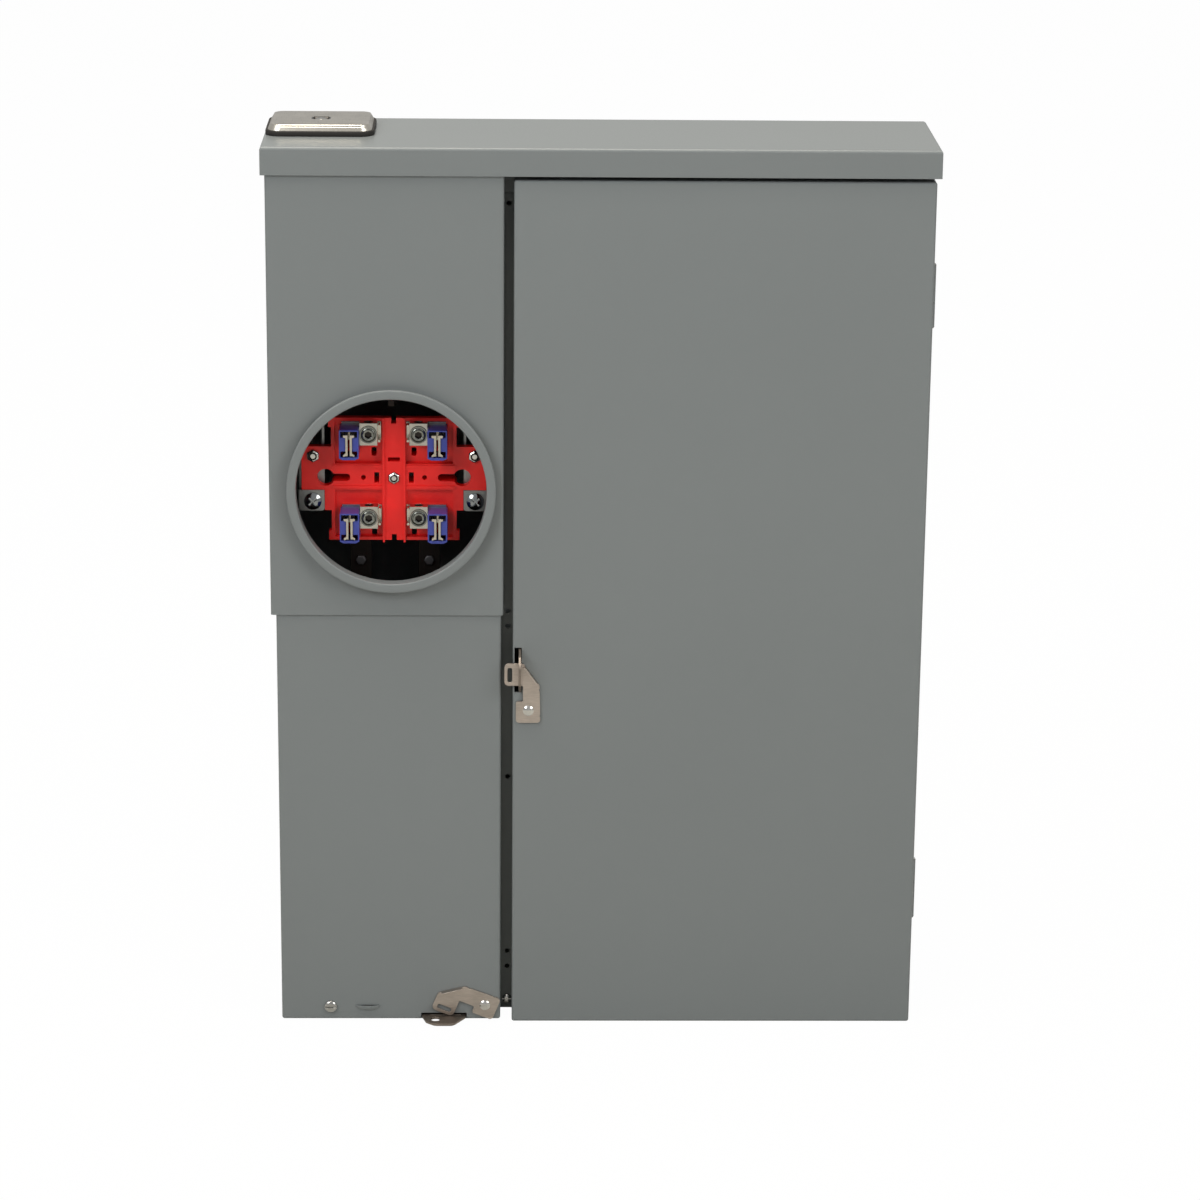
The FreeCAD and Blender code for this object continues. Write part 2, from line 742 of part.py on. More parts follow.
def latch_plate(pivot, face_f, turn):
    """Cam plate on its rivet: arm with a slotted end, and a finger lip on its sloping edge."""
    f0 = face_f + latch_gap
    f1 = f0 + latch_t
    knee_x = latch_right - 0.8
    body = plate([(-latch_left, -latch_foot, 3.0), (latch_right, -latch_foot, 3.0), (knee_x, latch_knee, 2.0),
                  (-latch_arm_right, latch_reach, 3.0), (-latch_arm_left, latch_reach, 4.0),
                  (-latch_arm_left, latch_arm_low, 4.0), (-latch_arm_right, latch_arm_low, 1.0),
                  (-latch_arm_right, latch_step, 1.5), (-latch_left, latch_step, 2.0)], f0, f1)
    slot_x0 = 2.7 - latch_arm_left
    slot_x1 = slot_x0 + 4.0
    slot_z0 = latch_arm_low + 3.3
    slot_z1 = latch_reach - 3.9
    slot = plate([(slot_x0, slot_z0, 1.5), (slot_x1, slot_z0, 1.5), (slot_x1, slot_z1, 1.5),
                  (slot_x0, slot_z1, 1.5)], f0 - 1, f1 + 1)
    tip = Vector(-latch_arm_right, 0, latch_reach)
    run = Vector(knee_x, 0, latch_knee) - tip
    start = tip + run * 0.12
    end = tip + run * 0.9
    inward = Vector(run.z, 0, -run.x).normalize() * sheet
    rim = [(p.x, p.z) for p in (start, end, end + inward, start + inward)]
    lip = polygon(rim, f0, f1 + latch_lip_rise)
    notch_places = ((latch_right + 0.6, 6.0 - latch_foot), (latch_right, latch_knee - 4.2))
    notches = [rod_f(x, z, 1.3, f0 - 1, f1 + 1) for x, z in notch_places]
    hole = rod_f(0, 0, rivet_r + rivet_gap, f0 - 1, f1 + 1)
    shape = fuse([body, lip]).cut([slot, hole] + notches)
    shape.rotate(Vector(0, 0, 0), Vector(0, 1, 0), -turn)
    shape.translate(Vector(pivot[0], 0, pivot[1]))
    return shape


def latch_rivet(pivot, face_f):
    outer_f = face_f + latch_gap + latch_t + 0.15
    ball_r = (rivet_head_r ** 2 + rivet_rise ** 2) / (2 * rivet_rise)
    head = Part.makeSphere(ball_r, on_front(pivot[0], pivot[1], outer_f + rivet_rise - ball_r))
    head = head.common(rod_f(*pivot, rivet_head_r, outer_f, outer_f + 2))
    shank = rod_f(*pivot, rivet_r, face_f - sheet - 1, outer_f + 0.2)
    tail = rod_f(*pivot, rivet_head_r, face_f - sheet - 1.2, face_f - sheet)
    return fuse([head, shank, tail])


def staple_outline(face_f, root_f):
    """Corners of the staple blade, as width along the edge against distance forward."""
    half = staple_w / 2
    tip_f = face_f + staple_reach
    return [(-half, root_f, 0), (-half, face_f + 3.5, 3.0), (-half + 10.5, tip_f, 6.0),
            (half - 11.0, tip_f, 6.0), (half - 3.5, face_f + 14.0, 4.0), (half, face_f + 2.0, 2.0),
            (half, root_f, 0)]


def staple_blade(face_f, root_f, place, thickness):
    """Flat blade with a window for the latch arm and a hole for a padlock."""
    blade = rounded_face(staple_outline(face_f, root_f), place).extrude(thickness)
    u0, u1 = staple_window
    w0 = face_f - 0.2
    w1 = w0 + staple_window_t
    window = rounded_face([(u0, w0, 1.0), (u1, w0, 1.0), (u1, w1, 1.0), (u0, w1, 1.0)], place)
    window = window.extrude(thickness * 3)
    window.translate(thickness * -1)
    eye_at = place(padlock_side, w1 + 2.2 + padlock_r)
    eye = Part.makeCylinder(padlock_r, thickness.Length * 3, eye_at - thickness, thickness)
    return blade.cut([window, eye])


def staple_centre_x():
    """The pull cover's staple stands as far from its latch pivot as the door's does."""
    return pull_pivot[0] - staple_up


def door_staple():
    """Upright blade on the centre post that reaches out past the door's left edge."""
    zc = door_pivot[1] + staple_up
    blade = staple_blade(cover_f, body_f, lambda u, v: Vector(staple_x, -v, zc + u), Vector(staple_t, 0, 0))
    half = staple_w / 2
    foot = box(staple_x, staple_x + staple_foot_w, body_f, body_f + staple_t, zc - half, zc + half)
    return fuse([blade, foot])


def cover_staple():
    """Level blade under the bottom wall that reaches out through the pull cover's slot."""
    xc = staple_centre_x()

    def place(u, v):
        return Vector(xc - u, -v, end_low - staple_t)

    return staple_blade(pull_f, body_f - staple_tail, place, Vector(0, 0, staple_t))


def meter_block():
    """Moulded socket block: a cross with side wings, ribs, recessed quarters and keyholes."""
    x, z = socket_x, socket_z
    half_w = block_w / 2
    half_h = block_h / 2
    back = block_f - block_t

    def slab(reach, f0, f1, z0, z1):
        return box(x - reach, x + reach, f0, f1, z + z0, z + z1)

    waist = half_w - block_waist_in
    shoulder = half_h - block_shoulder
    pieces = [slab(half_w, block_f - wing_t, block_f, shoulder - 1, half_h),
              slab(half_w, block_f - wing_t, block_f, -half_h, 1 - shoulder),
              slab(waist, back, block_f, -shoulder, shoulder),
              slab(leg_in - seat, block_f - wing_t, block_f, hip_low, wing_high),
              slab(wing_reach, block_f - wing_t, block_f, wing_low, wing_high)]
    rib_x = (spine_w + rib_w) / 2
    for side in (-1, 1):
        xc = x + side * rib_x
        pieces.append(box(xc - rib_w / 2, xc + rib_w / 2, block_f - 1, block_f + rib_rise,
                          z - half_h - 1.5, z + half_h))
        xo = x + side * (waist - 1)
        x0, x1 = sorted((xc, xo))
        for level in (recess_high_edge - rib_rise, recess_low_edge + rib_rise):
            half = rib_rise / 2
            pieces.append(box(x0, x1, block_f - 1, block_f + 1, z + level - half, z + level + half))
    cuts = [rod_f(x, z + centre_screw_dz, small_thread_r, block_f - 13, block_f + 1),
            slab(spine_slot_w / 2, back - 1, block_f + 1, spine_slot_up - spine_slot_h / 2,
                 spine_slot_up + spine_slot_h / 2)]
    for sx in (-1, 1):
        def pocket(near, far, f0, z0, z1, sx=sx):
            x0, x1 = sorted((x + sx * near, x + sx * far))
            return box(x0, x1, f0, block_f + 2, z + z0, z + z1)

        recess_near = rib_x + rib_w / 2 + 0.6
        recess_far = half_w - recess_rim
        recess_end = half_h - recess_end_in
        cuts.append(pocket(recess_near, recess_far, recess_f, recess_high_edge, recess_end))
        cuts.append(pocket(recess_near, recess_far, recess_f, -recess_end, recess_low_edge))
        slot_half = keyhole_slot_w / 2
        key_x, key_z = keyhole
        cuts.append(rod_f(x + sx * key_x, z + key_z, keyhole_r, back - 1, block_f + 1))
        cuts.append(pocket(keyhole_slot_in, key_x, back - 1, key_z - slot_half, key_z + slot_half))
        cuts.append(rod_f(x + sx * keyhole_slot_in, z + key_z, slot_half, back - 1, block_f + 2))
        cuts.append(rod_f(x + sx * index_hole_x, z + key_z, index_hole_r, back - 1, block_f + 1))
        cuts.append(pocket(index_slot_x - index_slot_w / 2, index_slot_x + index_slot_w / 2, back - 1,
                           key_z - index_slot_h / 2, key_z + index_slot_h / 2))
        cuts.append(rod_f(x + sx * wing_screw[0], z + wing_screw[1], small_thread_r,
                          block_f - wing_t - 1, block_f + 1))
        for level in (recess_high_edge + oval_from_edge, oval_from_end - recess_end):
            oval = [(x + sx * oval_x + u * oval_w / 2, z + level + v * oval_h / 2, 1.5)
                    for u, v in ((-1, -1), (1, -1), (1, 1), (-1, 1))]
            cuts.append(plate(oval, back - 1, recess_f + 1))
    for end in (-1, 1):
        z0, z1 = sorted((z + end * (half_h - end_notch_in), z + end * (half_h + 2)))
        cuts.append(box(x - end_notch_w / 2, x + end_notch_w / 2, back - 1, block_f + 1, z0, z1))
    return fuse(pieces).cut(cuts)


def socket_leg(side):
    """Grey support leg: foot on the back, deep web, and a front tab behind the block's wing."""
    front = block_f - wing_t
    x_in = socket_x + side * leg_in
    x_out = x_in + side * leg_tab_w
    low, high = sorted((x_in, x_out))
    web_low, web_high = sorted((x_in, x_in + side * leg_t))
    z0 = socket_z + hip_low - 0.5
    z1 = socket_z + wing_high
    tab = box(low, high, front - leg_t, front, z0, z1)
    step_high = socket_z + wing_low - seat
    step = plate([(low, z0, 2.5), (high, z0, 2.5), (high, step_high, 0), (low, step_high, 0)],
                 front - 0.1, block_f)
    foot = box(low, high, sheet, sheet + leg_t, z0, z1)
    web = box(web_low, web_high, sheet, front, z0, socket_z + leg_high)
    holes = [rod_f(socket_x + side * dx, socket_z + dz, r, front - 4, block_f + 1)
             for (dx, dz), r in ((leg_screw, leg_thread_r), (wing_screw, small_thread_r))]
    return fuse([tab, step, foot, web]).cut(holes)


def leg_screws():
    z = socket_z + leg_screw[1]
    places = [socket_x + side * leg_screw[0] for side in (-1, 1)]
    return Part.makeCompound([
        turned_screw(x, z, block_f, leg_head_r, 3.8, leg_thread_r, long_thread, "cross") for x in places])


def block_screws():
    """Hex screws in the wings and the one in the middle of the spine."""
    places = [(side * wing_screw[0], wing_screw[1], wing_head_r, long_thread) for side in (-1, 1)]
    places.append((0, centre_screw_dz, centre_head_r, short_thread))
    return Part.makeCompound([
        turned_screw(socket_x + dx, socket_z + dz, block_f, head_r, 3.0, small_thread_r, length, "hex_head")
        for dx, dz, head_r, length in places])


def jaw_places():
    """Quarter names with their signs to the right and up."""
    return (("upper_left", -1, 1), ("upper_right", 1, 1), ("lower_left", -1, -1), ("lower_right", 1, -1))


def jaw(sx, sz):
    """Tinned jaw: a base plate in the recess with two facing leaves whose ends flare out."""
    x = socket_x + sx * jaw_dx
    z = socket_z + sz * jaw_dz - jaw_drop
    lug_z = z + lug_rise
    foot_half = lug_h / 2 - 1.6
    x0, x1 = sorted((socket_x + sx * (lug_dx - lug_w / 2 - 2.7), x + sx * 7))
    base = box(x0, x1, recess_f, jaw_seat_f, lug_z - foot_half, lug_z + foot_half)
    x0, x1 = sorted((socket_x + sx * (lug_dx - lug_w / 2), socket_x + sx * (lug_dx + lug_w / 2)))
    pad = box(x0, x1, recess_f, lug_seat_f, lug_z - foot_half, lug_z + foot_half)
    pieces = [base, pad]
    half = jaw_h / 2
    inner = jaw_gap / 2
    outer = inner + jaw_leaf_t
    tip_f = jaw_seat_f + jaw_reach - jaw_plate_t
    flared = outer + jaw_flare
    leaf = [(inner, half), (inner, -half), (outer, -half), (flared, -half - 0.8), (flared, -half + 0.8),
            (outer, -half + 2.4), (outer, half - 2.4), (flared, half - 1.8), (flared, half)]
    for side in (-1, 1):
        pieces.append(polygon([(x + side * u, z + v) for u, v in leaf], jaw_seat_f - 1, tip_f))
    for v in (-6.5, 6.5):
        stud_x = socket_x + sx * (lug_dx - lug_w / 2 - 1.4)
        pieces.append(rod_f(stud_x, lug_z + v, 1.1, jaw_seat_f - 0.5, lug_seat_f + 8))
    return fuse(pieces)


def jaw_guide(sx, sz):
    """Blue guide: a rounded sleeve whose cheeks back the jaw's leaves, with four corner pockets."""
    x = socket_x + sx * jaw_dx
    z = socket_z + sz * jaw_dz - jaw_drop
    half_w = guide_w / 2
    half_h = guide_h / 2
    f1 = jaw_seat_f + guide_depth
    outer = plate([(x - half_w, z - half_h + 1.5, 0.8), (x - half_w + 3.2, z - half_h, 0.8),
                   (x + half_w - 3.2, z - half_h, 0.8), (x + half_w, z - half_h + 1.5, 0.8),
                   (x + half_w, z + half_h, 1.0), (x - half_w, z + half_h, 1.0)], jaw_seat_f, f1)
    leaf_reach = jaw_gap / 2 + jaw_leaf_t + 0.1
    cuts = [box(x - leaf_reach, x + leaf_reach, jaw_seat_f - 1, f1 + 1,
                z - half_h + 2 * guide_wall, z + half_h - guide_wall)]
    pocket_w = half_w - guide_wall
    low = z - half_h + 2 * guide_wall
    high = z + half_h - guide_wall
    cuts.append(box(x - pocket_w, x + pocket_w, jaw_seat_f - 1, f1 + 1, low, low + guide_pocket_h))
    cuts.append(box(x - pocket_w, x + pocket_w, jaw_seat_f - 1, f1 + 1, high - guide_pocket_h, high))
    return outer.cut(cuts)


def lug(sx, sz):
    """Wire collar with a cross bore for the conductor and a threaded bore for its set screw."""
    x = socket_x + sx * lug_dx
    z = socket_z + sz * jaw_dz - jaw_drop + lug_rise
    block = box(x - lug_w / 2, x + lug_w / 2, lug_seat_f, lug_f, z - lug_h / 2, z + lug_h / 2)
    bore = rod_z(x, lug_seat_f + lug_depth / 2 - 0.5, lug_bore_r, z - lug_h, z + lug_h)
    thread = rod_f(x, z, lug_thread_r, lug_seat_f + lug_depth / 2, lug_f + 1)
    return block.cut([bore, thread])


def lug_set_screws():
    """Broad round set screws, each with a raised rim around its hex socket."""
    screws = []
    tip_f = lug_seat_f + lug_depth / 2 - 0.5 + lug_bore_r + 0.4
    for _, sx, sz in jaw_places():
        x = socket_x + sx * lug_dx
        z = socket_z + sz * jaw_dz - jaw_drop + lug_rise
        shank = rod_f(x, z, lug_thread_r, tip_f, lug_f + 0.1)
        disc = turned_screw(x, z, lug_f, lug_w / 2, 1.6, lug_thread_r, 0.5, "plain")
        rim = turned_screw(x, z, lug_f + 1.2, 5.3, 1.8, 4.0, 1, "plain")
        well = rod_f(x, z, 3.6, lug_f - 0.8, lug_f + 4)
        screws.append(fuse([shank, disc, rim]).cut(well))
    return Part.makeCompound(screws)


def load_strap(side):
    """Flat strap from behind the block's lower jaw, down the pull section to the main breaker."""
    x = socket_x + side * strap_dx
    half = strap_w / 2
    z_end = main_z + side * strap_dz
    down = box(x - half, x + half, strap_f - strap_t, strap_f, z_end - half, socket_z - 20)
    across = box(x - half, panel_x - main_w / 2, strap_f - strap_t, strap_f, z_end - half, z_end + half)
    bolts = [rod_f(u, v, strap_bolt_r, strap_f - 2 * strap_t, strap_f + 1)
             for u, v in ((x, top - strap_bolt_down), (strap_end_x, z_end))]
    return fuse([down, across]).cut(bolts)


def strap_bolts():
    """One bolt in each strap below the block, and one in each strap's end on the breaker."""
    bolts = []
    for side in (-1, 1):
        x = socket_x + side * strap_dx
        z = top - strap_bolt_down
        bolt = turned_screw(x, z, strap_f, 4.6, 3.0, strap_bolt_r, strap_t + 4, "hex_head")
        nut = rod_f(x, z, 4.4, strap_f - 2 * strap_t, strap_f - strap_t)
        bolts.append(fuse([bolt, nut]))
        bolts.append(turned_screw(strap_end_x, main_z + side * strap_dz, strap_f, 4.6, 3.0, strap_bolt_r,
                                  strap_t + 8, "hex_head"))
    return Part.makeCompound(bolts)


def dead_front():
    """Inner trim with breaker blanks, each with its pry slot, and the main breaker's window."""
    shell = tray(dead_left, dead_right, dead_low, dead_top, body_f, dead_return)
    cuts = []
    for side in (-1, 1):
        xc = panel_x + side * blank_dx
        for row in range(breaker_rows + 1):
            z = top - rows_down + breaker_pitch / 2 - row * breaker_pitch
            cuts.append(box(xc - blank_w / 2, xc + blank_w / 2, body_f - 0.5, body_f + 1, z - 0.4, z + 0.4))
        for row in range(breaker_rows):
            z = top - rows_down - row * breaker_pitch
            cuts.append(box(xc - 5, xc + 5, body_f - 3, body_f + 1, z - 0.8, z + 0.8))
        for edge in (-1, 1):
            x = xc + edge * blank_w / 2
            z1 = top - rows_down + breaker_pitch / 2
            z0 = z1 - breaker_rows * breaker_pitch
            cuts.append(box(x - 0.4, x + 0.4, body_f - 0.5, body_f + 1, z0, z1))
    half_w, half_h = main_boss_half()
    cuts.append(box(panel_x - half_w - 1, panel_x + half_w + 1, body_f - 3, body_f + 1,
                    main_z - half_h - 1, main_z + half_h + 1))
    cuts += [rod_f(x, z, 2.2, body_f - 3, body_f + 1) for x, z in dead_screw_places()]
    return shell.cut(cuts)


def main_boss_half():
    """Half width and half height of the raised face around the main breaker's handle."""
    return 30.0, handle_w / 2 + 8.0


def dead_screw_places():
    zs = (dead_top - rail_inset + rail_flange / 2, dead_low + rail_inset - rail_flange / 2)
    return [(x, z) for x in (dead_left + dead_screw_in, dead_right - dead_screw_in) for z in zs]


def dead_front_screws():
    screws = [turned_screw(x, z, body_f, dead_screw_head_r, 2.4, small_thread_r, 8, "slot")
              for x, z in dead_screw_places()]
    return Part.makeCompound(screws)


def panel_rail(end):
    """Z-shaped rail from the back to the dead front; end is 1 at the top, -1 at the bottom."""
    z = dead_top - rail_inset if end > 0 else dead_low + rail_inset
    x0 = dead_left + rail_end
    x1 = dead_right - rail_end / 4
    front = body_f - sheet

    def strip(f0, f1, reach):
        z0, z1 = sorted((z, z + end * reach))
        return box(x0, x1, f0, f1, z0, z1)

    rail = fuse([strip(sheet, 2 * sheet, rail_flange), strip(sheet, front, sheet),
                 strip(front - sheet, front, rail_flange)])
    return rail.cut([rod_f(sx, sz, 2.2, front - 4, front + 1) for sx, sz in dead_screw_places()])


def interior_pan():
    """Raised plate with two side feet that stand on the back."""
    half = pan_w / 2
    z0 = main_z - main_h / 2 - 20
    z1 = top - rows_down + 24
    outer = box(panel_x - half, panel_x + half, sheet, pan_rise, z0, z1)
    half -= pan_t
    return outer.cut(box(panel_x - half, panel_x + half, sheet - 1, pan_rise - pan_t, z0 - 1, z1 + 1))


def bus_base():
    """Insulating base with a middle rib and side arms that carry the neutral bars."""
    half = base_w / 2
    z0 = main_z - main_h / 2 - 12
    z1 = top - rows_down + 18
    base = box(panel_x - half, panel_x + half, pan_rise, base_f, z0, z1)
    rib = box(panel_x - 1.5, panel_x + 1.5, base_f - 1, base_f + bus_t, main_z + main_h / 2 + 1, z1)
    arm_half = neutral_dx + bar_w / 2 + 2
    arms = [box(panel_x - arm_half, panel_x + arm_half, pan_rise, pan_rise + 6, z - 7, z + 7)
            for z in neutral_supports()]
    return fuse([base, rib] + arms)


def neutral_span():
    """Lower and upper ends of the neutral bars."""
    return main_z + main_h / 2 + 20, top - rows_down + 10


def neutral_supports():
    low, high = neutral_span()
    return (low + 15, (low + high) / 2, high - 15)


def bus_bar(side):
    """Upright bus bar with every second cross plate and the stabs at both ends of it."""
    x = panel_x + side * bus_dx
    z1 = top - rows_down + 12
    pieces = [box(x - bus_w / 2, x + bus_w / 2, base_f, bus_f, main_z - main_h / 2 + 8, z1)]
    first = 0 if side < 0 else 1
    for row in range(first, breaker_rows, 2):
        z = top - rows_down - row * breaker_pitch
        pieces.append(box(x - 4, x + 4, bus_f - 0.5, bus_f + 3, z - 4.5, z + 4.5))
        pieces.append(box(panel_x - bus_plate_reach, panel_x + bus_plate_reach, bus_f + 3, bus_f + 5.5,
                          z - 4.5, z + 4.5))
        for end in (-1, 1):
            xc = panel_x + end * stab_dx
            pieces.append(box(xc - 6, xc + 6, bus_f + 5, bus_f + 17, z - 1.25, z + 1.25))
    return fuse(pieces)


def wire_bar(x, z0, z1, f0):
    """Terminal bar with a row of cross holes for wires."""
    bar = box(x - bar_w / 2, x + bar_w / 2, f0, f0 + bar_w, z0, z1)
    holes = []
    for z in bar_levels(z0, z1):
        start = Vector(x - bar_w / 2 - 1, -(f0 + bar_w / 2), z)
        holes.append(Part.makeCylinder(bar_hole_r, bar_w + 2, start, Vector(1, 0, 0)))
    return bar.cut(holes)


def bar_levels(low, high):
    """Heights of the wire holes of a terminal bar, from its upper end down."""
    count = int((high - low - bar_end) / bar_screw_pitch)
    return [high - bar_end - i * bar_screw_pitch for i in range(count)]


def neutral_bar(side):
    low, high = neutral_span()
    return wire_bar(panel_x + side * neutral_dx, low, high, pan_rise + 6)


def ground_span():
    return main_z - main_h / 2 - ground_below, main_z + main_h / 2 + ground_above


def ground_bar():
    return wire_bar(ground_x, *ground_span(), sheet)


def terminal_screws():
    """Slotted screws in the neutral bars and the ground bar."""
    screws = []
    runs = [(panel_x + side * neutral_dx, neutral_span(), pan_rise + 6) for side in (-1, 1)]
    runs.append((ground_x, ground_span(), sheet))
    for x, (low, high), f0 in runs:
        seat_f = f0 + bar_w
        for z in bar_levels(low, high):
            head = rod_f(x, z, 3.4, seat_f, seat_f + 2.6)
            screws.append(head.cut(box(x - 4, x + 4, seat_f + 1.4, seat_f + 3, z - 0.5, z + 0.5)))
    return Part.makeCompound(screws)


def main_breaker():
    """Breaker case over the bus ends, a terminal shelf for the straps, and a handle bay."""
    half_w = main_w / 2
    half_h = main_h / 2
    boss_w, boss_h = main_boss_half()
    pivot_f = handle_pivot_f()
    boss_f = body_f + main_boss_rise
    case = box(panel_x - half_w, panel_x + half_w, bus_f, main_face_f, main_z - half_h, main_z + half_h)
    shelf = box(panel_x - half_w - main_shelf, panel_x - half_w + 1, bus_f, strap_f - strap_t,
                main_z - half_h, main_z + half_h)
    barrier = box(panel_x - half_w - main_shelf, panel_x - half_w + 1, strap_f - strap_t - 1, strap_f + 8,
                  main_z - 2, main_z + 2)
    boss = box(panel_x - boss_w, panel_x + boss_w, main_face_f - 1, boss_f, main_z - boss_h, main_z + boss_h)
    bay_z0 = main_z - handle_w / 2 - 0.5
    bay_z1 = main_z + handle_w / 2 + 0.5
    bay = rod_z(panel_x, pivot_f, handle_r + 0.5, bay_z0, bay_z1)
    slot_half = 13.5
    slot = box(panel_x - slot_half, panel_x + slot_half, pivot_f, boss_f + 1, bay_z0, bay_z1)
    bolts = [rod_f(strap_end_x, main_z + side * strap_dz, strap_bolt_r, strap_f - 4 * strap_t, strap_f)
             for side in (-1, 1)]
    pivot = rod_z(panel_x, pivot_f, 3.0, bay_z0 - 1, bay_z1 + 1)
    return fuse([fuse([case, shelf, barrier, boss]).cut([bay, slot] + bolts), pivot])


def handle_pivot_f():
    return body_f + main_boss_rise - 17.5


def main_handle():
    """Handle on a drum that turns about an upright pin, tipped to its closed side."""
    pivot_f = handle_pivot_f()
    z0 = main_z - handle_w / 2
    z1 = main_z + handle_w / 2
    drum = rod_z(panel_x, pivot_f, handle_r, z0, z1)
    lever = box(panel_x - handle_t / 2, panel_x + handle_t / 2, pivot_f, pivot_f + handle_reach, z0, z1)
    lever = lever.makeFillet(1.5, [e for e in lever.Edges if e.BoundBox.YMax < 1e-3 - pivot_f - handle_reach])
    shape = fuse([drum, lever]).cut(rod_z(panel_x, pivot_f, 3.0 + pin_gap, z0 - 1, z1 + 1))
    shape.rotate(Vector(panel_x, -pivot_f, 0), Vector(0, 0, 1), -handle_tilt)
    return shape


def cover_screws():
    """Slotted screw in the pull cover, and the one at the foot of the centre post."""
    return Part.makeCompound([
        turned_screw(*pull_screw_at, pull_f, 5.3, 3.2, cover_thread_r, pull_f - body_f + 6, "slot"),
        turned_screw(*post_screw_at, body_f, 4.0, 2.6, cover_thread_r, 8, "slot"),
    ])


def make_nodes():
    nodes = {
        "back_pan": back_pan(),
        "bottom_end": bottom_end(),
        "top_cap": top_cap(),
        "door_header": door_header(),
        "centre_post": centre_post(),
        "meter_cover": meter_cover(),
        "pull_cover": pull_cover(),
        "cover_screws": cover_screws(),
        "hub_plate": hub_plate(),
        "hub_gasket": hub_gasket(),
        "hub_screw": hub_screw(),
        "hub_clamp_bar": hub_clamp_bar(),
        "door_staple": door_staple(),
        "cover_staple": cover_staple(),
        "bonding_strip": bonding_strip(),
        "meter_block": meter_block(),
        "block_screws": block_screws(),
        "socket_leg_left": socket_leg(-1),
        "socket_leg_right": socket_leg(1),
        "leg_screws": leg_screws(),
        "lug_set_screws": lug_set_screws(),
        "load_strap_left": load_strap(-1),
        "load_strap_right": load_strap(1),
        "strap_bolts": strap_bolts(),
        "dead_front": dead_front(),
        "dead_front_screws": dead_front_screws(),
        "panel_rail_top": panel_rail(1),
        "panel_rail_bottom": panel_rail(-1),
        "interior_pan": interior_pan(),
        "bus_base": bus_base(),
        "bus_bar_left": bus_bar(-1),
        "bus_bar_right": bus_bar(1),
        "neutral_bar_left": neutral_bar(-1),
        "neutral_bar_right": neutral_bar(1),
        "ground_bar": ground_bar(),
        "terminal_screws": terminal_screws(),
        "main_breaker": main_breaker(),
        "main_handle": main_handle(),
        "door_panel": door_panel(),
        "hinge_pins": hinge_pins(),
        "door_latch": latch_plate(door_pivot, cover_f, 0),
        "door_latch_rivet": latch_rivet(door_pivot, cover_f),
        "pull_latch": latch_plate(pull_pivot, pull_f, pull_latch_turn),
        "pull_latch_rivet": latch_rivet(pull_pivot, pull_f),
    }
    for place, zc in zip(("upper", "lower"), hinge_zs):
        nodes["hinge_box_leaf_" + place] = hinge_leaf(zc, "box")
        nodes["hinge_door_leaf_" + place] = hinge_leaf(zc, "door")
    for place, sx, sz in jaw_places():
        nodes["jaw_" + place] = jaw(sx, sz)
        nodes["jaw_guide_" + place] = jaw_guide(sx, sz)
        nodes["lug_" + place] = lug(sx, sz)
    return nodes


os.makedirs("parts", exist_ok=True)
for name, shape in make_nodes().items():
    shape.exportStep("parts/" + name + ".step")
    print(name, len(shape.Solids), shape.isValid(), round(shape.Volume))
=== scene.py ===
import bpy
import bmesh
import json
import numpy as np
from mathutils import Matrix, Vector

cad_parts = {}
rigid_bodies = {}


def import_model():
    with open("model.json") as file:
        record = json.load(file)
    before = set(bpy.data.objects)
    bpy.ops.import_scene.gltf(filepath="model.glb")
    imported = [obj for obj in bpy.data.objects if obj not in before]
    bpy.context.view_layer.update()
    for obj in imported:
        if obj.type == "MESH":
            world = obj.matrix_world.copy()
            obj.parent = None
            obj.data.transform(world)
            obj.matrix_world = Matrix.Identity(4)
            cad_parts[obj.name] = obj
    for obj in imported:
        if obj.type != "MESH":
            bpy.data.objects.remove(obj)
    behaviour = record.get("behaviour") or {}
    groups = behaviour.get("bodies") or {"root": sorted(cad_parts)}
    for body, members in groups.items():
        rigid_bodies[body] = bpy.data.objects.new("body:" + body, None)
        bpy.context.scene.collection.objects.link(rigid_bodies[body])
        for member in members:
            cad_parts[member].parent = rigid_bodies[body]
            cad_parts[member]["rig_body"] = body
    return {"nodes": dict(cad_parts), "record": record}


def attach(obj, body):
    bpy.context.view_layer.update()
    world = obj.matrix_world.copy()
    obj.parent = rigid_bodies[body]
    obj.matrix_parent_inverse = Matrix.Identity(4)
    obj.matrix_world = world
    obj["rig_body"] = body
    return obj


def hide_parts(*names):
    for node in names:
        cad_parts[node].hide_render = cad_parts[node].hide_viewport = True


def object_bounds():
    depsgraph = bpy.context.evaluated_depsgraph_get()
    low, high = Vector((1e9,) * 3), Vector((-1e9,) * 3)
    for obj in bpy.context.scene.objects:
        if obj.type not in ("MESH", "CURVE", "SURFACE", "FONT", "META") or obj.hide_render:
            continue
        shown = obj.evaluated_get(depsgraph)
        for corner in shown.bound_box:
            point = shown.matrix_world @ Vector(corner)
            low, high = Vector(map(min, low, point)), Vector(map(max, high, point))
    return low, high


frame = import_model()
nodes = frame["nodes"]
cad_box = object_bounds()


# ---- Studio floor and sky
# A sheet of white card under the box and a white room around it. The camera sees both as plain
# white, with the box's soft shadow left in, and only a little of that white lights the box. The
# strip of card that the box covers stays dark, as it shows through the louvre of the pull cover.
def linear(code, gain=1.0):
    """sRGB hex to a linear colour: low values are divided, the rest follow a 2.4 power curve."""
    value = np.array([int(code[i:i + 2], 16) / 255 for i in (1, 3, 5)])
    curve = np.where(value <= 0.04045, value / 12.92, ((value + 0.055) / 1.055) ** 2.4)
    return (*(curve * gain).tolist(), 1.0)


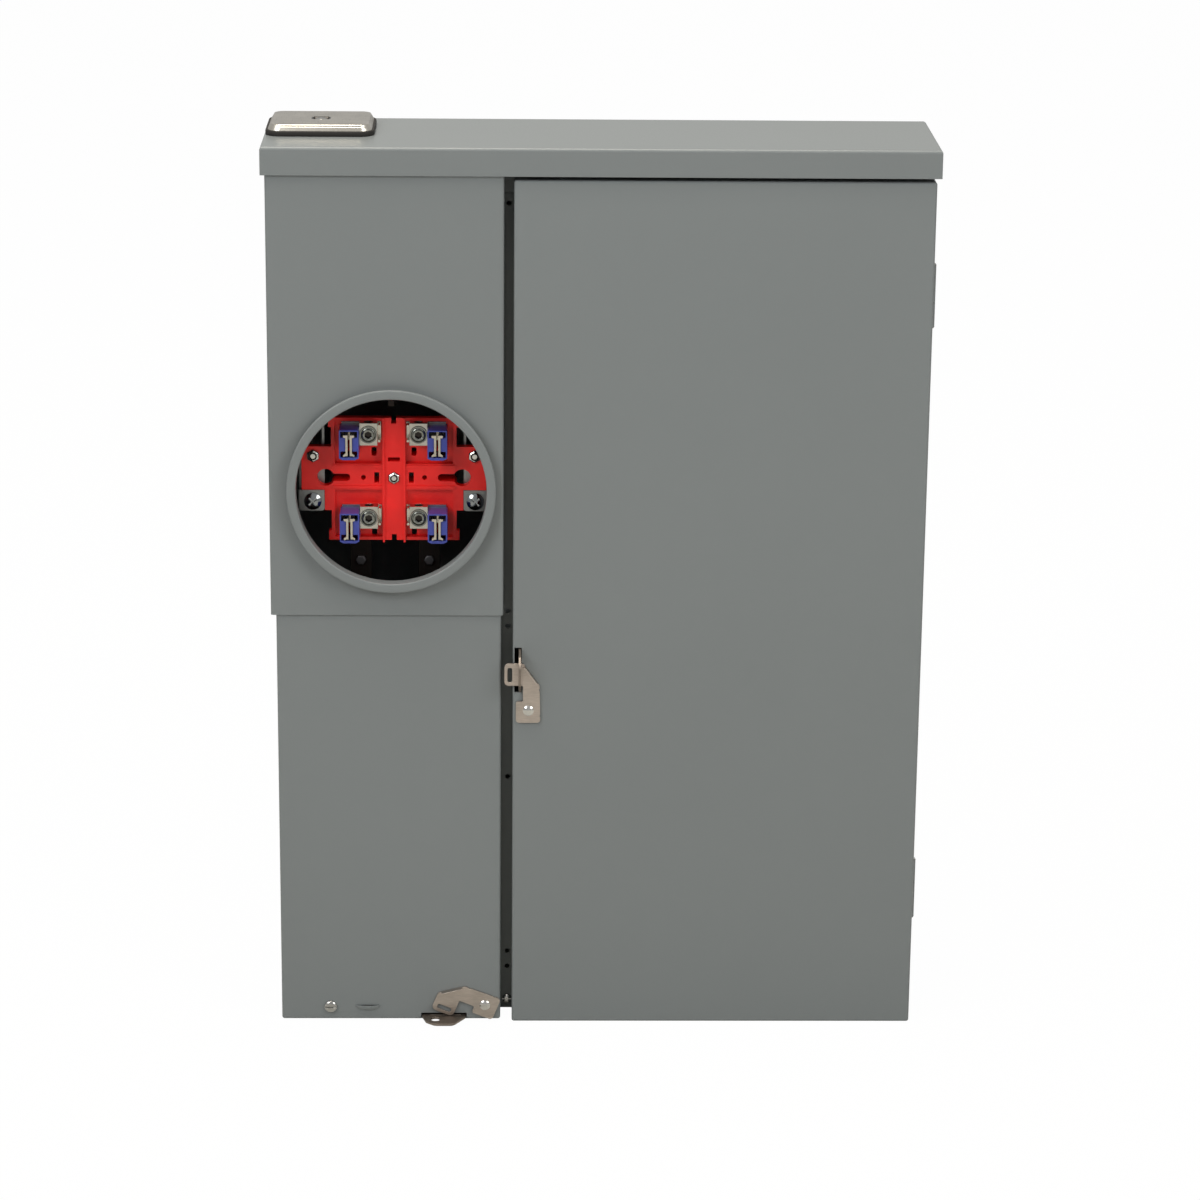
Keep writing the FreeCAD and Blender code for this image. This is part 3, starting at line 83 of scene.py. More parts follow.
def add(tree, kind, sockets=None, **settings):
    """Add a node to a tree, set its options, and set or link each socket that is named."""
    node = tree.nodes.new(kind)
    for option, value in settings.items():
        setattr(node, option, value)
    for name, value in (sockets or {}).items():
        if isinstance(value, bpy.types.NodeSocket):
            tree.links.new(value, node.inputs[name])
        else:
            node.inputs[name].default_value = value
    return node


def blank(name):
    """New material with an empty tree, and the piece's own coordinates as a socket."""
    material = bpy.data.materials.new(name)
    material.use_nodes = True
    tree = material.node_tree
    tree.nodes.clear()
    return material, tree, add(tree, "ShaderNodeTexCoord").outputs["Object"]


def surface(name, patches, material):
    """Mesh from patches of points in rows and columns: each cell of four points is one face.

    A patch is (points, closed), where closed joins its last column to its first. Shared edges of
    patches are merged, and faces are turned outwards."""
    corners, faces, start = [], [], 0
    for points, closed in patches:
        rows, columns = points.shape[:2]
        index = np.arange(rows * columns).reshape(rows, columns) + start
        if closed:
            index = np.concatenate([index, index[:, :1]], axis=1)
        quads = np.stack([index[:-1, :-1], index[:-1, 1:], index[1:, 1:], index[1:, :-1]], axis=-1)
        corners.append(points.reshape(-1, 3))
        faces.append(quads.reshape(-1, 4))
        start += rows * columns
    mesh = bpy.data.meshes.new(name)
    mesh.from_pydata(np.concatenate(corners).tolist(), [], np.concatenate(faces).tolist())
    mesh.materials.append(material)
    return placed(name, mesh)


def placed(name, mesh):
    """Object from a mesh: doubles merged, faces turned outwards and shaded."""
    work = bmesh.new()
    work.from_mesh(mesh)
    bmesh.ops.remove_doubles(work, verts=work.verts, dist=1e-6)
    bmesh.ops.dissolve_degenerate(work, edges=work.edges, dist=1e-7)
    bmesh.ops.recalc_face_normals(work, faces=work.faces)
    return shaded(name, work, mesh)


def shaded(name, work, mesh, crease=32.0):
    """Object from a mesh in work: smooth faces, and edges sharper than crease degrees kept sharp."""
    for face in work.faces:
        face.smooth = True
    for edge in work.edges:
        edge.smooth = edge.calc_face_angle(0.0) < np.radians(crease)
    work.to_mesh(mesh)
    work.free()
    piece = bpy.data.objects.new(name, mesh)
    bpy.context.scene.collection.objects.link(piece)
    return piece


floor_half, floor_gap = 9.0, 0.0005
covered_middle, covered_halves = (0.0, -0.052, 0.0), (0.275, 0.052, 1.0)
white_share, mirror_share, room_light = 0.985, 0.38, 0.16
white_card, tree, place = blank("white_card")
paper = add(tree, "ShaderNodeBsdfDiffuse", {"Color": linear("#D9D9D6"), "Roughness": 0.9})
glow = add(tree, "ShaderNodeEmission", {"Color": linear("#FFFFFF"), "Strength": 1.0})
seen = add(tree, "ShaderNodeLightPath")
from_middle = add(tree, "ShaderNodeVectorMath", {0: place, 1: covered_middle}, operation="SUBTRACT")
in_halves = add(tree, "ShaderNodeVectorMath", {0: from_middle.outputs[0], 1: covered_halves},
                operation="DIVIDE")
distance = add(tree, "ShaderNodeVectorMath", {0: in_halves.outputs[0]}, operation="ABSOLUTE")
parts = add(tree, "ShaderNodeSeparateXYZ", {0: distance.outputs[0]})
farther = add(tree, "ShaderNodeMath", {0: parts.outputs[0], 1: parts.outputs[1]}, operation="MAXIMUM")
open_card = add(tree, "ShaderNodeMath", {0: farther.outputs[0], 1: 1.0}, operation="GREATER_THAN")
share = add(tree, "ShaderNodeMath", {0: seen.outputs["Is Camera Ray"], 1: white_share},
            operation="MULTIPLY")
share = add(tree, "ShaderNodeMath", {0: share.outputs[0], 1: open_card.outputs[0]}, operation="MULTIPLY")
both = add(tree, "ShaderNodeMixShader", {0: share.outputs[0], 1: paper.outputs[0], 2: glow.outputs[0]})
add(tree, "ShaderNodeOutputMaterial", {"Surface": both.outputs[0]})

reach = np.linspace(-floor_half, floor_half, 9)
across, along = np.meshgrid(reach, reach)
level = np.full_like(across, cad_box[0][2] - floor_gap)
surface("floor", [(np.stack([across, along, level], axis=-1), False)], white_card)

world = bpy.data.worlds.new("white_room")
bpy.context.scene.world = world
world.use_nodes = True
tree = world.node_tree
tree.nodes.clear()
seen = add(tree, "ShaderNodeLightPath")
direct = add(tree, "ShaderNodeMath", {0: seen.outputs["Is Camera Ray"],
                                      1: seen.outputs["Is Transmission Ray"]}, operation="MAXIMUM")
mirrored = add(tree, "ShaderNodeMath", {0: seen.outputs["Is Glossy Ray"], 1: mirror_share},
               operation="MULTIPLY")
share = add(tree, "ShaderNodeMath", {0: direct.outputs[0], 1: mirrored.outputs[0]}, operation="MAXIMUM")
dim = add(tree, "ShaderNodeBackground", {"Color": linear("#FFFFFF"), "Strength": room_light})
bright = add(tree, "ShaderNodeBackground", {"Color": linear("#FFFFFF"), "Strength": 1.0})
both = add(tree, "ShaderNodeMixShader", {0: share.outputs[0], 1: dim.outputs[0], 2: bright.outputs[0]})
add(tree, "ShaderNodeOutputWorld", {"Surface": both.outputs[0]})


# ---- Studio lamps
# A soft box on each side of the camera, so that narrow gaps stay dark, and a large one overhead
# that makes the top of the cap the lightest face.
def lamp(name, place, aim, size, watts, tint):
    """Square soft lamp at a place, turned to face the point that it is aimed at."""
    light = bpy.data.lights.new(name, "AREA")
    light.shape = "SQUARE"
    light.size = size
    light.energy = watts
    light.color = linear(tint)[:3]
    holder = bpy.data.objects.new(name, light)
    bpy.context.scene.collection.objects.link(holder)
    forward = np.array(aim) - np.array(place)
    forward = forward / np.linalg.norm(forward)
    right = np.cross(forward, (0, 0, 1))
    right = right / np.linalg.norm(right)
    turn = Matrix(np.stack([right, np.cross(right, forward), -forward], axis=1).tolist()).to_4x4()
    holder.matrix_world = Matrix.Translation(place) @ turn


lamp("left_lamp", (-2.2, -2.6, 2.1), aim=(0.0, 0.0, 0.0), size=1.8, watts=56.0, tint="#FDFEFF")
lamp("right_lamp", (2.7, -2.6, 1.8), aim=(0.0, 0.0, 0.0), size=1.8, watts=49.0, tint="#FFFEFB")
lamp("overhead_lamp", (-0.3, -0.4, 3.0), aim=(0.0, -0.05, 0.35), size=2.0, watts=95.0, tint="#FFF8EC")

# ---- Camera
# Long lens, 3.3 metres away and a little above the box, as the photograph was taken: nearly 17
# degrees down, a little over one to the right, and rolled half a degree.
focal_pixels, picture_pixels = 3893.0, 1200.0
camera_at, camera_turn = (-0.0741, -3.3131, 0.9591), (-1.375, 90.0 - 16.808, 0.574)
lens = bpy.data.cameras.new("camera")
lens.sensor_width = 36.0
lens.lens = focal_pixels / picture_pixels * lens.sensor_width
lens.clip_end = 50.0
camera = bpy.data.objects.new("camera", lens)
bpy.context.scene.collection.objects.link(camera)
yaw, pitch, tilt = np.radians(camera_turn)
camera.matrix_world = (Matrix.Translation(camera_at) @ Matrix.Rotation(yaw, 4, "Z")
                       @ Matrix.Rotation(pitch, 4, "X") @ Matrix.Rotation(tilt, 4, "Z"))
bpy.context.scene.camera = camera
bpy.context.scene.view_settings.view_transform = "Standard"


# ---- Folded steel shell
# Cap, pull cover, door, centre post, back and header: 1.5 mm zinc-coated steel, cut, folded on
# a press brake and finished in grey baked enamel. The centre post, deep in its narrow gap, gets a
# darker copy of that enamel: painted shade.
def baked_enamel(name, code):
    """Baked grey enamel: satin, with a faint orange peel about 2 mm apart that breaks up
    reflections, and a slight drift of tone over each sheet."""
    material, tree, place = blank(name)
    drift = add(tree, "ShaderNodeTexNoise", {"Vector": place, "Scale": 6.0, "Detail": 2.0})
    tone = add(tree, "ShaderNodeMix", {0: drift.outputs["Fac"], 6: linear(code, 0.975),
                                       7: linear(code, 1.025)}, data_type="RGBA")
    speck = add(tree, "ShaderNodeTexNoise", {"Vector": place, "Scale": 700.0, "Detail": 1.0})
    gloss = add(tree, "ShaderNodeMapRange", {"Value": speck.outputs["Fac"], "To Min": 0.27,
                                             "To Max": 0.35})
    peel = add(tree, "ShaderNodeTexNoise", {"Vector": place, "Scale": 480.0, "Detail": 2.0})
    relief = add(tree, "ShaderNodeBump", {"Height": peel.outputs["Fac"], "Strength": 0.12,
                                          "Distance": 0.0004})
    skin = add(tree, "ShaderNodeBsdfPrincipled", {
        "Base Color": tone.outputs[2], "Roughness": gloss.outputs[0], "IOR": 1.45, "Specular IOR Level": 0.4,
        "Normal": relief.outputs[0]})
    add(tree, "ShaderNodeOutputMaterial", {"Surface": skin.outputs[0]})
    return material


def softened(material, radius, *names):
    """Finish CAD nodes: a merged copy of each, with its cut edges rounded by radius metres."""
    for name in names:
        mesh = nodes[name].data.copy()
        mesh.materials.clear()
        mesh.materials.append(material)
        work = bmesh.new()
        work.from_mesh(mesh)
        bmesh.ops.remove_doubles(work, verts=work.verts, dist=2e-6)
        bmesh.ops.dissolve_limit(work, angle_limit=np.radians(0.5), verts=work.verts, edges=work.edges)
        for face in work.faces:
            face.material_index = 0
        piece = shaded(name + "_finished", work, mesh)
        if radius:
            round_edges = piece.modifiers.new("round_edges", "BEVEL")
            round_edges.width = radius
            round_edges.segments = 2
            round_edges.limit_method = "ANGLE"
            round_edges.angle_limit = np.radians(40)
            round_edges.harden_normals = True
        fitted(piece, slot_of[name], name, body=body_of[name])


def fitted(piece, slot, *replaced, body="enclosure"):
    """Put a new piece on its body, in the place of CAD nodes, which it hides; slot is not used."""
    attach(piece, body)
    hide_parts(*replaced)


pin_edge, thin_edge, cut_edge, moulded_edge, case_edge = 0.0002, 0.00025, 0.0003, 0.0004, 0.0005
slot_of = {part["node"]: part["material_slot"] for part in frame["record"]["subparts"]}
body_of = {name: node["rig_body"] for name, node in nodes.items()}
grey_enamel = baked_enamel("grey_baked_enamel", "#7D8283")
# A darker copy of the grey enamel, for the centre post deep in its gap: painted shade.
post_painted_shade_enamel = baked_enamel("grey_enamel_darkened_as_painted_shade", "#6A6F6E")
softened(grey_enamel, cut_edge, "top_cap", "pull_cover", "door_panel", "back_pan", "bottom_end",
         "door_header")
softened(post_painted_shade_enamel, cut_edge, "centre_post")


# ---- Meter cover
# One sheet with a skirt folded down each side and its meter opening drawn out of it: the neck
# rises from a small foot and its end is rolled outwards into the ring that a sealing band grips.
def side_fold(edge, inward, front, back):
    """Profile across a folded side, outside then inside, as (x, forward) pairs: a quarter
    circle from the face, straight back to the cut edge, round it and up the inside."""
    turn = np.linspace(0.0, np.pi / 2, 7)
    x, f = edge + inward * fold_r, front - fold_r
    outside, inside = [np.stack([x - inward * r * np.sin(turn), f + r * np.cos(turn)], axis=1)
                       for r in (fold_r, fold_r - sheet_t)]
    cut = np.array([[edge, back], [edge + inward * sheet_t, back]])
    return np.concatenate([outside, cut, inside[::-1]])


sheet_t, fold_r, skirt_back = 1.5, 2.2, 111.8
ring_x, ring_z, face_f = -174.9, 96.2, 137.5
left, right, low, high = -278.2, -80.3, -14.6, 382.4
flat_left, flat_right = left + fold_r, right - fold_r
up = np.linspace(low, high, 65)
over = np.linspace(flat_right, flat_left, 33)
border = np.concatenate([
    np.stack([np.full(64, flat_right), up[:-1]], axis=1), np.stack([over[:-1], np.full(32, high)], axis=1),
    np.stack([np.full(64, flat_left), up[:0:-1]], axis=1), np.stack([over[:0:-1], np.full(32, low)], axis=1)])
corner_turns = np.arctan2([low - ring_z, high - ring_z, high - ring_z, low - ring_z],
                          [flat_right - ring_x, flat_right - ring_x, flat_left - ring_x, flat_left - ring_x])
corner_turns = np.append(np.unwrap(corner_turns), corner_turns[0] + 2 * np.pi)
angles = np.interp(np.arange(192), [0, 64, 96, 160, 192], corner_turns)
bore_r, foot_r, foot_out = 80.4, 2.8, 84.8
lip_middle, lip_halves, lip_squareness = np.array([84.35, 145.6]), np.array([3.95, 2.0]), 0.38
roll = np.linspace(-0.5 * np.pi, 1.12 * np.pi, 22)
lip = np.stack([np.cos(roll), np.sin(roll)], axis=1)
lip = lip_middle + lip_halves * np.sign(lip) * np.abs(lip) ** lip_squareness
foot_turn = np.linspace(0.0, np.pi / 2, 8)
foot = np.stack([foot_out - foot_r * np.sin(foot_turn), face_f + foot_r - foot_r * np.cos(foot_turn)], axis=1)
cover_back = face_f - sheet_t
neck = [[bore_r, 144.2], [bore_r, 140.0], [bore_r, cover_back], [83.0, cover_back], [foot_out, cover_back]]
ring_profile = np.concatenate([foot, [[foot_out - foot_r, 142.5]], lip, neck])
circle = np.stack([np.cos(angles), np.sin(angles)], axis=1)
centre = np.array([ring_x, ring_z])
inner = centre + foot_out * circle
crowding = 1.6
spread = np.linspace(1.0, 0.0, 12)[:, None, None] ** crowding
flat = border * spread + inner * (1 - spread)


def forward(plan, distance):
    """Points of a plan in (x, z) millimetres at a distance in front of the wall, in metres."""
    distance = np.broadcast_to(distance, plan.shape[:-1])
    return np.stack([plan[..., 0], -distance, plan[..., 1]], axis=-1) / 1000


rows = centre + ring_profile[:, None, :1] * circle
cover_patches = [(forward(flat, face_f), True), (forward(rows, ring_profile[:, 1:]), True),
                 (forward(flat[::-1], cover_back), True)]
for edge, inward in ((left, 1), (right, -1)):
    profile = side_fold(edge, inward, face_f, skirt_back)
    plan = np.stack(np.broadcast_arrays(profile[:, None, 0], up[None, :]), axis=-1)
    cover_patches.append((forward(plan, profile[:, 1:]), False))
    for z in (low, high):
        pair = np.stack([profile[:8], profile[:7:-1]])
        end = np.stack([pair[..., 0], np.full(pair.shape[:2], z)], axis=-1)
        cover_patches.append((forward(end, pair[..., 1]), False))
for z in (low, high):
    strip = np.stack(np.broadcast_arrays(over[None, :], np.array([[z], [z]])), axis=-1)
    cover_patches.append((forward(strip, np.array([[face_f], [cover_back]])), False))
fitted(surface("meter_cover_drawn", cover_patches, grey_enamel), "enamel", "meter_cover")


# ---- Hub plate
# The hub opening in the cap is closed by a stamped stainless plate with sloping sides, pulled
# down onto a black rubber gasket by one screw in a shallow dimple, whose wall is painted dark as
# shade. A zinc-plated bar holds the screw's nut below.
def rolled_metal(name, code, gloss, grain, depth, streak=(1.0, 1.0, 1.0), metallic=1.0):
    """Bare sheet or bar metal. A noise stretched along the rolling direction, grain metres across,
    moves the gloss and the tone a little, as rolling lines and handling do."""
    material, tree, place = blank(name)
    along = add(tree, "ShaderNodeMapping", {"Vector": place, "Scale": streak})
    lines = add(tree, "ShaderNodeTexNoise", {"Vector": along.outputs[0], "Scale": 1.0 / grain, "Detail": 3.0})
    clouds = add(tree, "ShaderNodeTexNoise", {"Vector": place, "Scale": 60.0, "Detail": 2.0})
    mixed = add(tree, "ShaderNodeMath", {0: lines.outputs["Fac"], 1: clouds.outputs["Fac"]}, operation="ADD")
    part = add(tree, "ShaderNodeMapRange", {"Value": mixed.outputs[0], "From Min": 0.7, "From Max": 1.3})
    tone = add(tree, "ShaderNodeMix", {0: part.outputs[0], 6: linear(code, 0.86), 7: linear(code, 1.08)},
               data_type="RGBA")
    rough = add(tree, "ShaderNodeMapRange", {"Value": lines.outputs["Fac"], "To Min": gloss - 0.07,
                                             "To Max": gloss + 0.07})
    relief = add(tree, "ShaderNodeBump", {"Height": lines.outputs["Fac"], "Strength": 0.25,
                                          "Distance": depth})
    skin = add(tree, "ShaderNodeBsdfPrincipled", {
        "Base Color": tone.outputs[2], "Metallic": metallic, "Roughness": rough.outputs[0],
        "Normal": relief.outputs[0]})
    add(tree, "ShaderNodeOutputMaterial", {"Surface": skin.outputs[0]})
    return material


def moulding(name, code, gloss, grain, depth, level=0.5):
    """Moulded plastic or rubber: one colour all through, a die grain of that size in metres that
    dulls the shine, and a slow drift of tone where the melt has flowed."""
    material, tree, place = blank(name)
    flow = add(tree, "ShaderNodeTexNoise", {"Vector": place, "Scale": 45.0, "Detail": 2.0, "Distortion": 1.2})
    tone = add(tree, "ShaderNodeMix", {0: flow.outputs["Fac"], 6: linear(code, 0.88), 7: linear(code, 1.10)},
               data_type="RGBA")
    die = add(tree, "ShaderNodeTexNoise", {"Vector": place, "Scale": 1.0 / grain, "Detail": 2.0})
    rough = add(tree, "ShaderNodeMapRange", {"Value": die.outputs["Fac"], "To Min": gloss - 0.06,
                                             "To Max": gloss + 0.06})
    relief = add(tree, "ShaderNodeBump", {"Height": die.outputs["Fac"], "Strength": 0.2,
                                          "Distance": depth})
    skin = add(tree, "ShaderNodeBsdfPrincipled", {
        "Base Color": tone.outputs[2], "Roughness": rough.outputs[0], "IOR": 1.5, "Specular IOR Level": level,
        "Normal": relief.outputs[0]})
    add(tree, "ShaderNodeOutputMaterial", {"Surface": skin.outputs[0]})
    return material


def accent(piece, material, chosen):
    """Give a second material to faces: chosen picks them from rows of their centres in millimetres."""
    mesh = piece.data
    mesh.materials.append(material)
    centres = np.empty(3 * len(mesh.polygons))
    mesh.polygons.foreach_get("center", centres)
    mesh.polygons.foreach_set("material_index", chosen(centres.reshape(-1, 3) * 1000).astype(np.int32))


def hub_loops(offsets, heights, width=87.0, length=73.0, corner=11.0):
    """Rows of points round a rectangle with round corners, one row for each offset outwards of
    its edge and each height: corner centres stay, and the corner radius takes the offset."""
    turn = np.linspace(0, np.pi / 2, 10)
    angle = np.concatenate([turn + k * np.pi / 2 for k in range(4)])
    sign = np.repeat([[1, 1], [-1, 1], [-1, -1], [1, -1]], 10, axis=0)
    centres = sign * (width / 2 - corner, length / 2 - corner)
    radius = corner + np.asarray(offsets, float)[:, None]
    x = hub_x + centres[:, 0] + radius * np.cos(angle)
    y = -hub_f + centres[:, 1] + radius * np.sin(angle)
    z = np.broadcast_to(np.asarray(heights, float)[:, None], x.shape)
    return np.stack([x, y, z], axis=-1) / 1000


def hub_rings(outer, radii, heights):
    """Rows of points on circles round the hub screw, at the same polar angles as the outer row."""
    off = outer[:, :2] - np.array([hub_x, -hub_f]) / 1000
    off = off / np.linalg.norm(off, axis=1)[:, None]
    flat = off * np.asarray(radii, float)[:, None, None] / 1000 + np.array([hub_x, -hub_f]) / 1000
    z = np.broadcast_to(np.asarray(heights, float)[:, None, None] / 1000, flat.shape[:2] + (1,))
    return np.concatenate([flat, z], axis=-1)


hub_x, hub_f, plate_low, plate_high, skin_t = -234.6, 54.5, 392.8, 397.8, 1.2
plate_inside, dimple_floor, dimple_r = plate_high - skin_t, 395.2, 8.4
side_draft, edge_r, inner_r = 3.3, 1.0, 2.0
shoulder = np.linspace(0, np.pi / 2, 8)
edge_high = plate_high - edge_r + edge_r * np.sin(shoulder)
outside = hub_loops(np.concatenate([[0, -0.1], edge_r * np.cos(shoulder) - side_draft]),
                    np.concatenate([[plate_low, plate_low + 0.6], edge_high]))
back_turn = shoulder[::-1]
inner_high = plate_inside - inner_r + inner_r * np.sin(back_turn)
inside = hub_loops(np.concatenate([inner_r * np.cos(back_turn) - inner_r - skin_t, [-skin_t, 0]]),
                   np.concatenate([inner_high, [plate_low, plate_low]]))
floor_inside = dimple_floor - skin_t
dimple = hub_rings(outside[-1], [22.0, 9.6, dimple_r, 5.9, 3.1, 3.1, 6.0, dimple_r, 9.8, 22.0],
                   [plate_high, plate_high, plate_high - 0.2, dimple_floor, dimple_floor, floor_inside,
                    floor_inside, plate_inside - 0.3, plate_inside, plate_inside])
stainless = rolled_metal("brushed_stainless", "#CFCABF", gloss=0.30, grain=0.00035, depth=0.00004,
                         streak=(1.0, 0.03, 1.0))
hub_plate = surface("hub_plate_stamped", [(np.concatenate([outside, dimple, inside]), True)], stainless)
# The dimple's wall gets a near-black stainless: painted shade.
painted_shade_stainless = rolled_metal("dark_painted_shade_stainless", "#3E3C3A", gloss=0.22, grain=0.0008, depth=0.00003)
accent(hub_plate, painted_shade_stainless, lambda at: (
    np.hypot(at[:, 0] - hub_x, at[:, 1] + hub_f) < dimple_r + 0.2) & (at[:, 2] > dimple_floor - 0.2))
fitted(hub_plate, "stainless", "hub_plate")

rubber = moulding("epdm_rubber", "#262422", gloss=0.72, grain=0.0009, depth=0.00006, level=0.35)
gasket_low, gasket_in, gasket_out, gasket_bulge = 388.4, 9.0, 1.6, 0.6
bulge = np.linspace(-np.pi / 2, np.pi / 2, 7)
gasket_half = (plate_low - gasket_low) / 2
gasket_rows = np.concatenate([[-gasket_in], gasket_out + gasket_bulge * np.cos(bulge),
                              [-gasket_in, -gasket_in]])
gasket_high = np.concatenate([[gasket_low], gasket_low + gasket_half + gasket_half * np.sin(bulge),
                              [plate_low, gasket_low]])
hub_gasket = surface("hub_gasket_moulded", [(hub_loops(gasket_rows, gasket_high), True)], rubber)
fitted(hub_gasket, "gasket", "hub_gasket")


# ---- Screws of the covers and the hub
# Zinc-plated steel, cold headed: bright domed heads with a slot. Their shanks pass through the
# sheet into the threads below.
def head(place, radius, rise, shank_r, shank_to, drive="slot", turn=0.0, upward=False):
    """Patches of one screw: a domed head and its shank.

    Each row is a circle, or where the drive is cut, its star-shaped outline, whose radius at
    each angle is the least distance to the drive's straight edges. Row by row: floor of the
    drive, which on a hex head is a groove round a button, its wall, the dome by a fourth power
    of the radius, or by its square on a cross head, the rim, the seat and the shank. The whole
    head is turned by turn radians."""
    half, length = 0.12 * radius, (radius if drive == "slot" else 0.62 * radius)
    corner = np.arctan2(half, length)
    base = np.linspace(0, 2 * np.pi, 48, endpoint=False)
    quarter = np.arange(4) * np.pi / 2
    marks = np.concatenate([quarter + corner, quarter - corner, quarter + np.pi / 4]) % (2 * np.pi)
    angle = np.unique(np.round(np.concatenate([base, marks]), 6))
    c, s = np.abs(np.cos(angle)) + 1e-9, np.abs(np.sin(angle)) + 1e-9
    if drive == "hex":
        sector = (angle + np.pi / 6) % (np.pi / 3) - np.pi / 6
        outline = np.minimum(radius * np.cos(np.pi / 6) / np.cos(sector), 0.96 * radius)
        cut = np.full_like(angle, 0.6 * radius)
        floor = 0.3 * rise
    else:
        outline = np.full_like(angle, radius)
        bar = np.minimum(length / c, half / s)
        cut = bar if drive == "slot" else np.maximum(bar, np.minimum(half / c, length / s))
        cut = np.minimum(cut, radius)
        floor = 0.45 * rise
    share = np.array([0.0, 0.25, 0.5, 0.7, 0.84, 0.94, 1.0])[:, None]
    dome_r = cut + (outline - cut) * share
    sag, power = (0.72, 2) if drive == "cross" else (0.45, 4)
    dome = rise * (1 - sag * (dome_r / outline) ** power)
    if drive == "slot":
        dome = np.where(cut > 0.98 * radius, floor, dome)
    button = 0.85 * rise if drive == "hex" else floor
    well = np.array([0.0, 0.62, 0.84, 1.0])[:, None] * cut
    well_high = np.array([button, 0.95 * button, floor, floor])[:, None] + np.zeros_like(well)
    radii = np.concatenate([well, dome_r, outline[None], np.full((2, len(angle)), shank_r),
                            np.zeros((1, len(angle)))])
    high = np.concatenate([well_high, dome, np.zeros((2, len(angle))), np.full((2, len(angle)), -shank_to)])
    u, v = radii * np.cos(angle + turn), radii * np.sin(angle + turn)
    x, f, z = place
    if upward:
        points = np.stack([x + u, -f + v, z + high], axis=-1)
    else:
        points = np.stack([x + u, -f - high, z + v], axis=-1)
    return [(points / 1000, True)]


zinc = rolled_metal("zinc_plated_steel", "#CFCDC8", gloss=0.17, grain=0.0012, depth=0.00003)
# A darker copy of the zinc for the cover screws, one of them deep in the centre post's gap: painted shade.
painted_shade_zinc = rolled_metal("painted_shade_zinc_plate", "#B9B8B4", gloss=0.17, grain=0.0012, depth=0.00003)
pull_f, post_f = 135.7, 111.5
cover_screws = head((-231.0, pull_f, -374.6), radius=5.3, rise=3.2, shank_r=2.4, shank_to=30.2)
cover_screws += head((-76.5, post_f, -377.0), radius=4.0, rise=2.6, shank_r=2.4, shank_to=8.0)
fitted(surface("cover_screws_headed", cover_screws, painted_shade_zinc), "zinc", "cover_screws")
hub_screw = head((hub_x, hub_f, dimple_floor), radius=5.2, rise=2.95, shank_r=3.0, shank_to=22.8, upward=True)
fitted(surface("hub_screw_headed", hub_screw, zinc), "zinc", "hub_screw")
softened(zinc, cut_edge, "hub_clamp_bar")

# ---- Hinges
# Two butt hinges on the right edge, rolled from 1.5 mm steel on a loose pin and enamelled with
# the box, so that only their pins are bare.
softened(grey_enamel, thin_edge, "hinge_box_leaf_upper", "hinge_box_leaf_lower", "hinge_door_leaf_upper",
         "hinge_door_leaf_lower")
softened(zinc, pin_edge, "hinge_pins")


# ---- Latches and staples
# Plates of 2 mm plated strip: each latch turns on a rivet, and the blade of its staple comes
# through the cover with a window for the latch arm and a hole for a padlock.
def rivet(name, x, z, sheet_f, node):
    """Button rivet through the latch: its head follows a sphere that reaches head_r at its seat,
    and behind the sheet is a set tail."""
    head_r, rise, shank_r, tail_r, latch_t, play = 4.7, 1.7, 3.0, 4.6, 2.0, 0.45
    ball = (head_r ** 2 + rise ** 2) / (2 * rise)
    seat, sheet_back = sheet_f + play + latch_t, sheet_f - sheet_t
    r = np.array([0.0, 1.2, 2.3, 3.3, 4.1, head_r - 0.05])
    radii = np.append(r, [r[-1], shank_r, shank_r, tail_r, tail_r, 0.0])
    front = np.append(seat + rise - ball + np.sqrt(ball ** 2 - r ** 2),
                      [seat, seat, sheet_back, sheet_back, sheet_back - 1.1, sheet_back - 1.1])
    turn = np.linspace(0, 2 * np.pi, 40, endpoint=False)
    plan = np.stack([x + radii[:, None] * np.cos(turn), z + radii[:, None] * np.sin(turn)], axis=-1)
    piece = surface(name, [(forward(plan, front[:, None]), True)], zinc)
    fitted(piece, slot_of[node], node, body=body_of[node])


latch_steel = rolled_metal("dichromate_plated_strip", "#BCB1A8", gloss=0.33, grain=0.0009, depth=0.00005,
                           streak=(0.15, 1.0, 1.0))
softened(latch_steel, cut_edge, "door_latch", "pull_latch")
# The staples get a darker copy of the latch strip: painted shade.
staple_painted_shade_steel = rolled_metal("plated_strip_darkened_as_painted_shade", "#8A8077", gloss=0.45, grain=0.0009, depth=0.00005,
                          streak=(0.15, 1.0, 1.0))
softened(staple_painted_shade_steel, cut_edge, "door_staple", "cover_staple")
rivet("door_latch_rivet_set", -58.6, -99.3, face_f, "door_latch_rivet")
rivet("pull_latch_rivet_set", -95.6, -372.8, pull_f, "pull_latch_rivet")

# ---- Meter block
# Red glass-filled polyester, moulded: a ribbed body with four recesses and two wings, held by a
# screw in each wing and one in the middle.
red_polyester = moulding("red_moulded_polyester", "#F91B17", gloss=0.42, grain=0.0011, depth=0.00005)
softened(red_polyester, moulded_edge, "meter_block")
centre_x, centre_z, block_f = -173.6, 97.7, 108.5
wing_dx, wing_dz, middle_dz = 68.6, 20.4, 1.2
groove_in, groove_out = 2.2, 3.45
block_screws = head((centre_x, block_f, centre_z + middle_dz), radius=5.5, rise=3.0, shank_r=2.2,
                    shank_to=12.0, drive="hex")
for sx in (-1, 1):
    block_screws += head((centre_x + wing_dx * sx, block_f, centre_z + wing_dz), radius=5.7, rise=3.0,
                         shank_r=2.2, shank_to=16.0, drive="hex")
block_screws = surface("block_screws_headed", block_screws, zinc)
# Near-black steel for the grooves round the block screws' buttons and for the lug screws' sockets: painted
# shade.
recess_painted_shade_steel = rolled_metal("steel_blackened_as_painted_shade", "#34312F", gloss=0.16, grain=0.0009, depth=0.00002)


